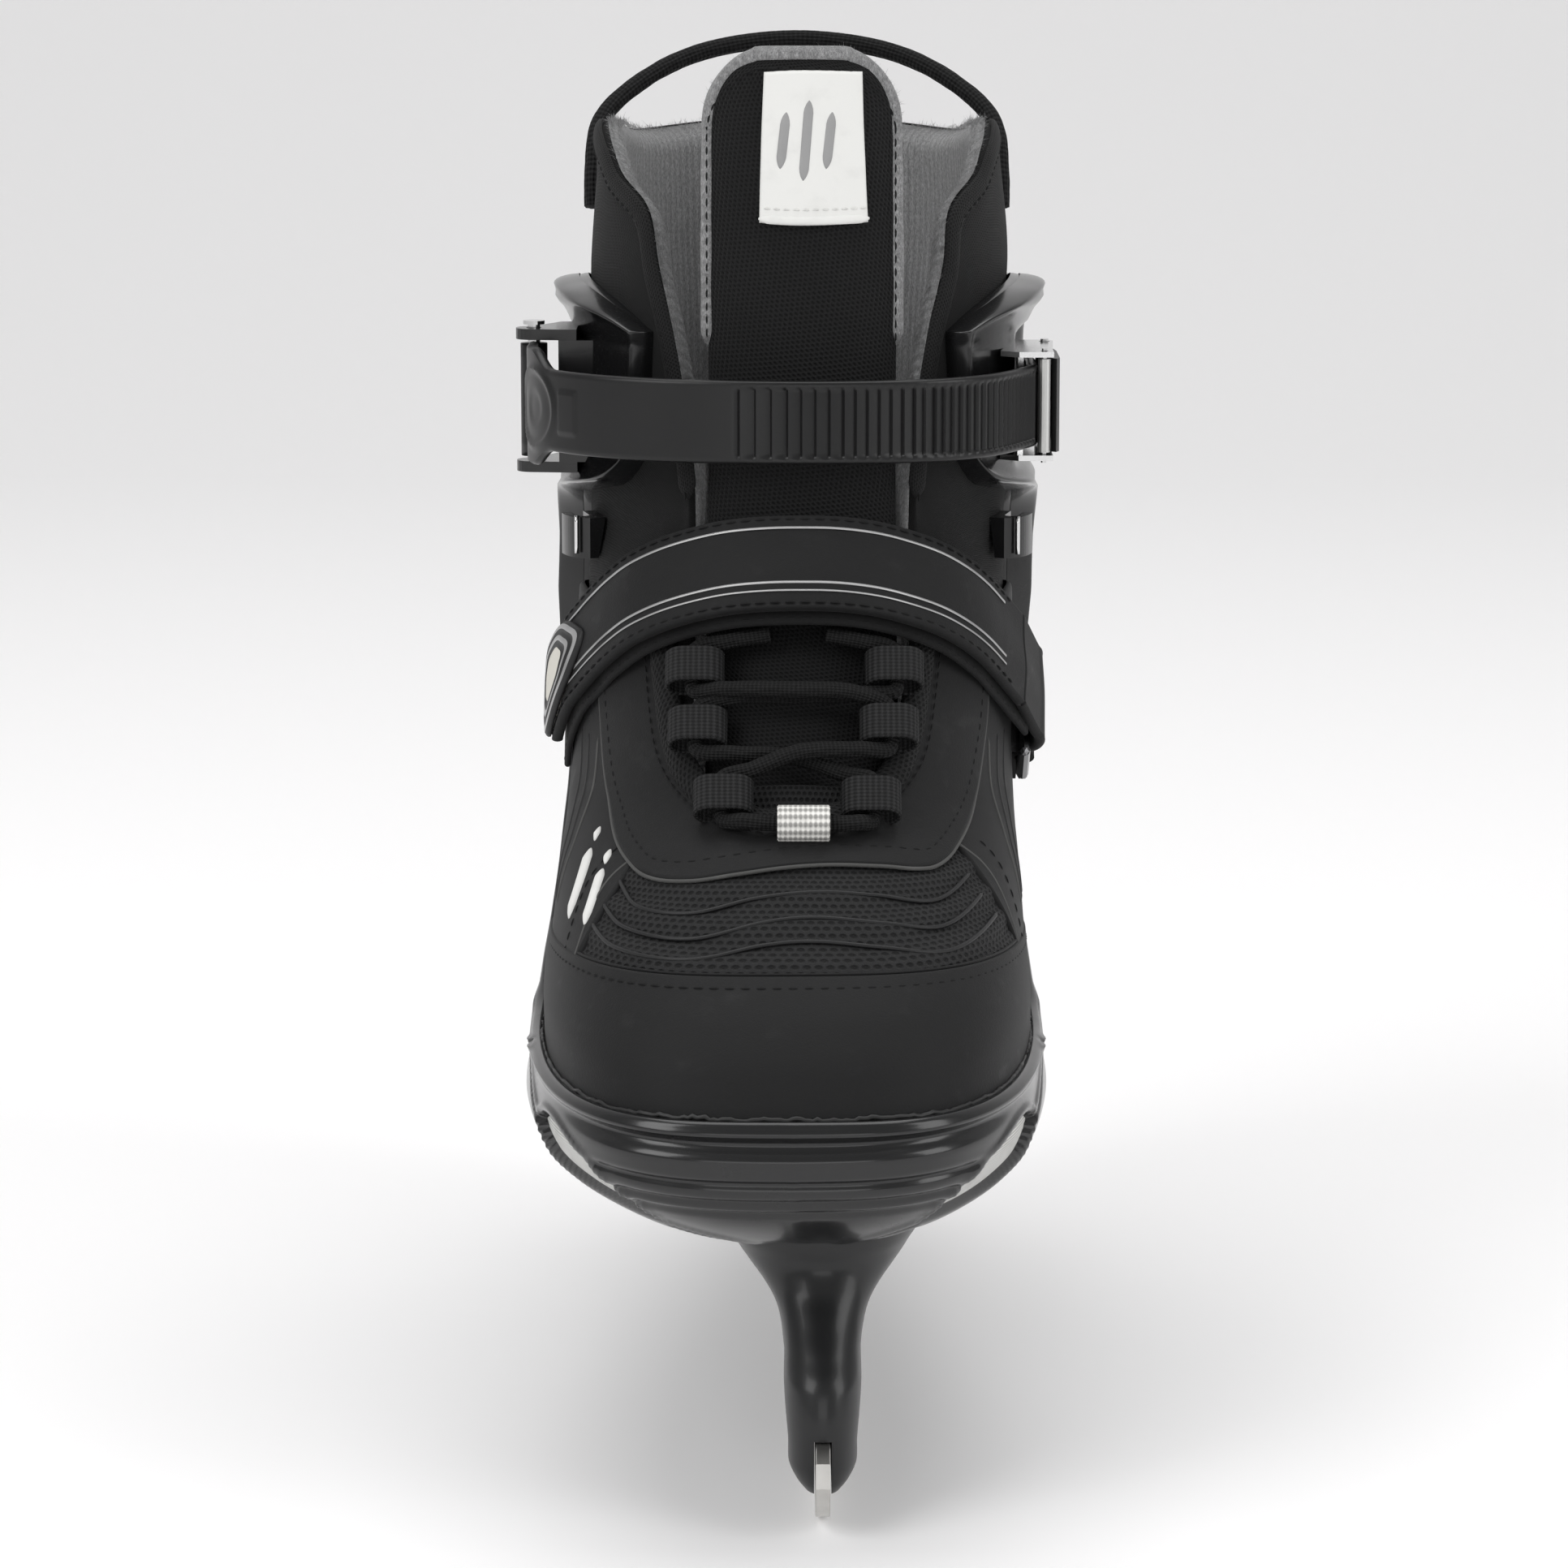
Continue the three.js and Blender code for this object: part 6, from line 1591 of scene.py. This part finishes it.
def webbing(name, colour, pitch=0.0011, roughness=0.75):
    """Woven tape: ribs across, broken by the warp, with loose fibres."""
    made, tree, shader, place, uv = finish(name, colour, roughness, Specular_IOR_Level=0.2)
    split = link(tree, "ShaderNodeSeparateXYZ", {0: uv})
    ribs = maths(tree, "SINE", maths(tree, "MULTIPLY", split.outputs[0], 2 * np.pi / pitch))
    warp = maths(tree, "SINE", maths(tree, "MULTIPLY", split.outputs[1], 2 * np.pi / (pitch * 0.7)))
    weave = maths(tree, "MULTIPLY_ADD", ribs, 0.6, maths(tree, "MULTIPLY", warp, 0.4))
    loose = noise(tree, place, 0.0003, 5, 0.75)
    soil = noise(tree, place, 0.006, 4)
    dark, light = tuple(c * 0.45 for c in colour), tuple(c * 1.3 for c in colour)
    tone = mixed(tree, ramp(tree, weave, -0.8, 0.8), dark, light)
    tone = mixed(tree, ramp(tree, soil, 0.5, 0.8, 0, 0.3), tone, tuple(c * 0.5 for c in colour))
    height = maths(tree, "MULTIPLY_ADD", loose, 0.5, weave)
    wire(tree, shader, Base_Color=tone, Normal=bump(tree, height, 0.8, 0.0003).outputs[0])
    return made


black_webbing = webbing("black_webbing", (0.011, 0.011, 0.0115))
dress("ring_tab", black_webbing, 0.5)

# ---------------------------------------------------------------- lacing
# One round braided lace, down one side and up the other, through six black webbing loops
# and a white one at the foot of the throat. Each loop is a folded, sewn tape.

LACE_WIDE = 1.75
LOOP_UP = 5.4
LOOPS = [(-27, 95.8), (-26.3, 81.5), (-20.7, 63.3), (15.5, 95.8), (14.2, 81.5), (10.3, 63.3)]
LOOP_NODES = ["outer_top", "outer_middle", "outer_low", "inner_top", "inner_middle", "inner_low"]
ROUTE = [(-11, 103.5, 2.6), (-20, 102.2, 4), (0, -1), (-21, 89.6, 6), (-6, 88, 6.6), (7, 88.4, 5.9), (4, -1)]
ROUTE += [(7, 74.9, 5.8), (-5, 73, 6.6), (-15, 69.5, 5.8), (2, -1), (-16, 56.6, 5.4), (-11, 56, 5.4), (3, 56, 5.4)]
ROUTE += [(7.5, 56.6, 5.4), (5, 1), (5, 70, 3.4), (-6, 74, 2.4), (-18, 74.9, 3.4), (1, 1), (-19, 88.4, 3.6)]
ROUTE += [(-6, 88.5, 2.4), (9, 89.6, 3.6), (3, 1), (9, 102.2, 4), (1, 103.5, 2.6)]


def face_level(x, up):
    """How far out the boot's face lies at a place of the instep frame."""
    turned = np.linspace(-0.95, 0.95, 61)
    rows = []
    for z in np.linspace(118, 205, 60):
        rows.append(skin(turned, np.full_like(turned, z), 0.0))
    rows = np.array(rows)
    out = -0.7848 * rows[..., 1] + 0.6198 * rows[..., 2]
    ups = 0.6198 * rows[..., 1] + 0.7848 * rows[..., 2]
    at = np.argsort((rows[..., 0] - x) ** 2 + (ups - up) ** 2, axis=None)[:4]
    return float(out.ravel()[at].mean())


def route_points():
    points = []
    for row in ROUTE:
        if len(row) == 3:
            points.append((row[0], face_level(row[0], row[1]) + row[2], row[1]))
            continue
        x, up = LOOPS[row[0]]
        for step in (-4.8, 0, 4.8):
            points.append((x, face_level(x, up) + LOOP_UP, up + row[1] * step))
    return instep(points)


def catmull(points, each):
    """A smooth line through points, centripetal, like the lace's own bends."""
    points = np.vstack([2 * points[0] - points[1], points, 2 * points[-1] - points[-2]])
    made = []
    for a, b, c, d in zip(points, points[1:], points[2:], points[3:]):
        t = [0.0]
        for one, two in ((a, b), (b, c), (c, d)):
            t.append(t[-1] + np.linalg.norm(two - one) ** 0.5)
        for s in np.linspace(t[1], t[2], each, endpoint=False):
            x = (a * (t[1] - s) + b * (s - t[0])) / (t[1] - t[0])
            y = (b * (t[2] - s) + c * (s - t[1])) / (t[2] - t[1])
            z = (c * (t[3] - s) + d * (s - t[2])) / (t[3] - t[2])
            u = (x * (t[2] - s) + y * (s - t[0])) / (t[2] - t[0])
            v = (y * (t[3] - s) + z * (s - t[1])) / (t[3] - t[1])
            made.append((u * (t[2] - s) + v * (s - t[1])) / (t[2] - t[1]))
    made.append(points[-2])
    return np.array(made)


def even(line, step):
    far = np.concatenate([[0], np.cumsum(np.linalg.norm(np.diff(line, axis=0), axis=1))])
    at = np.linspace(0, far[-1], int(far[-1] / step))
    return np.stack([np.interp(at, far, line[:, k]) for k in range(3)], 1)


def braid(name, line, radius, step=0.28, strands=6):
    """A round braided cord: crossed strands in relief over a round core."""
    line = even(line, step)
    run = np.arange(len(line)) * step
    way = unit(np.gradient(line, axis=0))
    up = [unit(np.cross(way[0], (0.1, 0.2, 1.0)))]
    for tangent in way[1:]:
        up.append(unit(up[-1] - tangent * (up[-1] @ tangent)))
    up = np.array(up)
    side = np.cross(way, up)
    t = np.linspace(0, 2 * np.pi, 30, endpoint=False)
    one = np.abs(np.sin((t[None] * strands / 2 + run[:, None] * 0.62 / radius)))
    two = np.abs(np.sin((t[None] * strands / 2 - run[:, None] * 0.62 / radius)))
    lift = 0.16 * radius * (np.maximum(one, two) - 0.75)
    far = radius * 0.96 + lift
    ring = line[:, None] + side[:, None] * (far * np.cos(t))[..., None]
    ring = ring + up[:, None] * (far * np.sin(t))[..., None]
    return edit(grid(name, ring, across=True), cap)


lace_line = catmull(route_points(), 14)
lace = braid("lace_braid", lace_line, LACE_WIDE)
lace.data.materials.append(webbing("black_lace", (0.011, 0.011, 0.0112), 0.0009))
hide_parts("lace")
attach(lace, "boot")


def tape_loop(name, centre, along, out, length, flat, hole, thick, material):
    """A folded tape round a lace. along is the lace's way, out the way off the boot."""
    across = np.cross(along, out)
    arc = np.linspace(-np.pi / 2, np.pi / 2, 12)
    ring = [(flat + np.cos(a), np.sin(a)) for a in arc] + [(-flat - np.cos(a), -np.sin(a)) for a in arc]
    ring = np.array([((x - np.sign(x) * flat) * 1.0, y, np.sign(x) * flat) for x, y in ring])
    share = shares(length, 1.0, 0.35)
    rows = []
    for x, y, shift in ring:
        row = []
        for level in (hole + thick, hole):
            for s in share if level > hole else share[::-1]:
                end = 1 - 0.25 * (np.abs(s - 0.5) > 0.48)
                radius = hole + thick * end if level > hole else hole
                place = centre + across * (x * radius + shift) + out * y * radius + along * (s - 0.5) * length
                row.append(place)
        rows.append(row)
    made = grid(name, np.array(rows), ring=True, across=True)
    made.data.materials.append(material)
    return made


loop_webbing = webbing("loop_webbing", (0.02, 0.02, 0.0205), 0.0012)
AWAY, ALONG = instep((0, 1.0, 0)), instep((0, 0, 1.0))
for (x, up), node in zip(LOOPS, LOOP_NODES):
    middle = instep((x, face_level(x, up) + LOOP_UP, up))
    loop = tape_loop(f"loop_{node}", middle, ALONG, AWAY, 8.0, 2.4, 3.05, 0.9, loop_webbing)
    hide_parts(f"lace_loop_{node}")
    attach(loop, "boot")

white_webbing = webbing("white_webbing", (0.72, 0.71, 0.68), 0.0015)
foot_middle = instep((-3.9, face_level(-3.9, 56) + 5.1, 56))
across_foot = np.array([1.0, 0, 0])
foot_loop = tape_loop(
    "loop_foot", foot_middle, across_foot, AWAY, 11.0, 0.05, 2.9, 0.9, white_webbing
)
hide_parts("lace_loop_foot")
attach(foot_loop, "boot")

# The hooks: moulded gloss-black open hooks riveted on the shaft, each with a wire gate.
for node, side in (("lace_hook_outer", -1), ("lace_hook_inner", 1)):
    dress(node, gloss_black, 0.4)
    gate = on_side(side, [(-7.5, 191)])[0]
    middle = skin(gate[0], gate[1], 6.0)
    line = np.array([middle + (0, 0, z) for z in np.linspace(-4.2, 4.2, 7)])
    wire_gate = sweep("hook_wire", line, np.tile([1.0, 0, 0], (7, 1)), circle(0.55, 12))
    wire_gate.data.materials.append(chrome)
    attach(wire_gate, "cuff")

# ---------------------------------------------------------------- pull loop
# A round braided cord sewn to both sides of the collar and arched over its back, to pull on.

CORD_RADIUS = 2.1
PULL_MIDDLE = -5.0
HALF_WAY = float(np.abs(skin(beside(59, 259, 1), 259.0, 0.0)[0] - PULL_MIDDLE)) + 2.3


def pull_line():
    rows = [(0, 62, 259), (0, 65, 267), (1.5, 72, 278), (11, 83, 287), (26, 95, 293.5)]
    left = [(PULL_MIDDLE - HALF_WAY + x, y, z) for x, y, z in rows]
    right = [(PULL_MIDDLE + HALF_WAY - x, y, z) for x, y, z in rows[::-1]]
    return catmull(np.array(left + [(PULL_MIDDLE, 101, 296)] + right), 16)


loop_way = pull_line()
pull = braid("pull_cord", loop_way, CORD_RADIUS, 0.5, 8)
pull.data.materials.append(webbing("pull_cord_braid", (0.01, 0.01, 0.0103), 0.0012))
for side in (-1, 1):
    foot = on_side(side, [(56, 252.5), (61.5, 252), (67, 252.5)])
    head = on_side(side, [(56, 263), (61.5, 263.4), (67, 263)])
    patch = panel("pull_patch", foot, head, 1.1, 0.3, 0.8, 1.2)
    patch.data.materials.append(black_webbing)
    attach(patch, "cuff")
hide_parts("pull_loop")
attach(pull, "pull")

# ---------------------------------------------------------------- studio
# A plain pale sweep, three large soft lights and a camera in front of the toe.
# None of it belongs to the skate.

FLOOR_SIZE = 26.0


def sweep_stage():
    """A floor that curves up into a wall behind the skate."""
    half = FLOOR_SIZE / 2
    turn = np.linspace(0, np.pi / 2, 24)
    wall = 1.2
    line = [(-9.0, 0.0), (1.6, 0.0)]
    line += [(1.6 + wall * np.sin(t), wall - wall * np.cos(t)) for t in turn]
    line += [(1.6 + wall, 12.0)]
    rows = [[(x, y, z) for y, z in line] for x in np.linspace(-half, half, 12)]
    return grid("floor", np.array(rows) / MM)


def soft_light(name, place, target, size, power):
    lamp = bpy.data.lights.new(name, "AREA")
    lamp.shape = "RECTANGLE"
    lamp.size, lamp.size_y = size
    lamp.energy = power
    obj = bpy.data.objects.new(name, lamp)
    bpy.context.scene.collection.objects.link(obj)
    obj.location = place
    aim = Vector(target) - Vector(place)
    obj.rotation_euler = aim.to_track_quat("-Z", "Y").to_euler()
    return obj


def paper():
    made, tree, shader, place, _ = finish("paper_sweep", (0.86, 0.855, 0.858), 0.9)
    relief = bump(tree, noise(tree, place, 0.004, 4), 0.05, 0.0003)
    wire(tree, shader, Normal=relief.outputs[0])
    shader.inputs["Emission Color"].default_value = (1, 0.996, 0.998, 1)
    shader.inputs["Emission Strength"].default_value = 0.14
    return made


floor = sweep_stage()
floor.data.materials.append(paper())

world = bpy.data.worlds.new("studio")
world.use_nodes = True
world.node_tree.nodes["Background"].inputs[0].default_value = (1, 1, 1, 1)
world.node_tree.nodes["Background"].inputs[1].default_value = 0.36
bpy.context.scene.world = world
bpy.context.scene.view_settings.view_transform = "Standard"

for light in (
    soft_light("key", (-1.3, -1.1, 1.3), (0, 0, 0.17), (1.0, 1.3), 17),
    soft_light("fill", (1.5, -0.8, 0.9), (0, 0, 0.17), (0.8, 1.4), 11),
    soft_light("top", (0, 0.2, 2.0), (0, 0, 0.1), (1.6, 1.4), 17),
    soft_light("low", (0, -2.2, 0.35), (0, 0, 0.12), (1.4, 0.5), 4),
):
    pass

camera_data = bpy.data.cameras.new("camera")
camera_data.sensor_width = 36
camera_data.lens = 119.63
camera = bpy.data.objects.new("camera", camera_data)
bpy.context.scene.collection.objects.link(camera)
camera.location = (-0.008, -1.155, 0.35)
camera.rotation_euler = (np.radians(90 - 10.6), 0, 0)
camera_data.clip_start = 0.05
bpy.context.scene.camera = camera
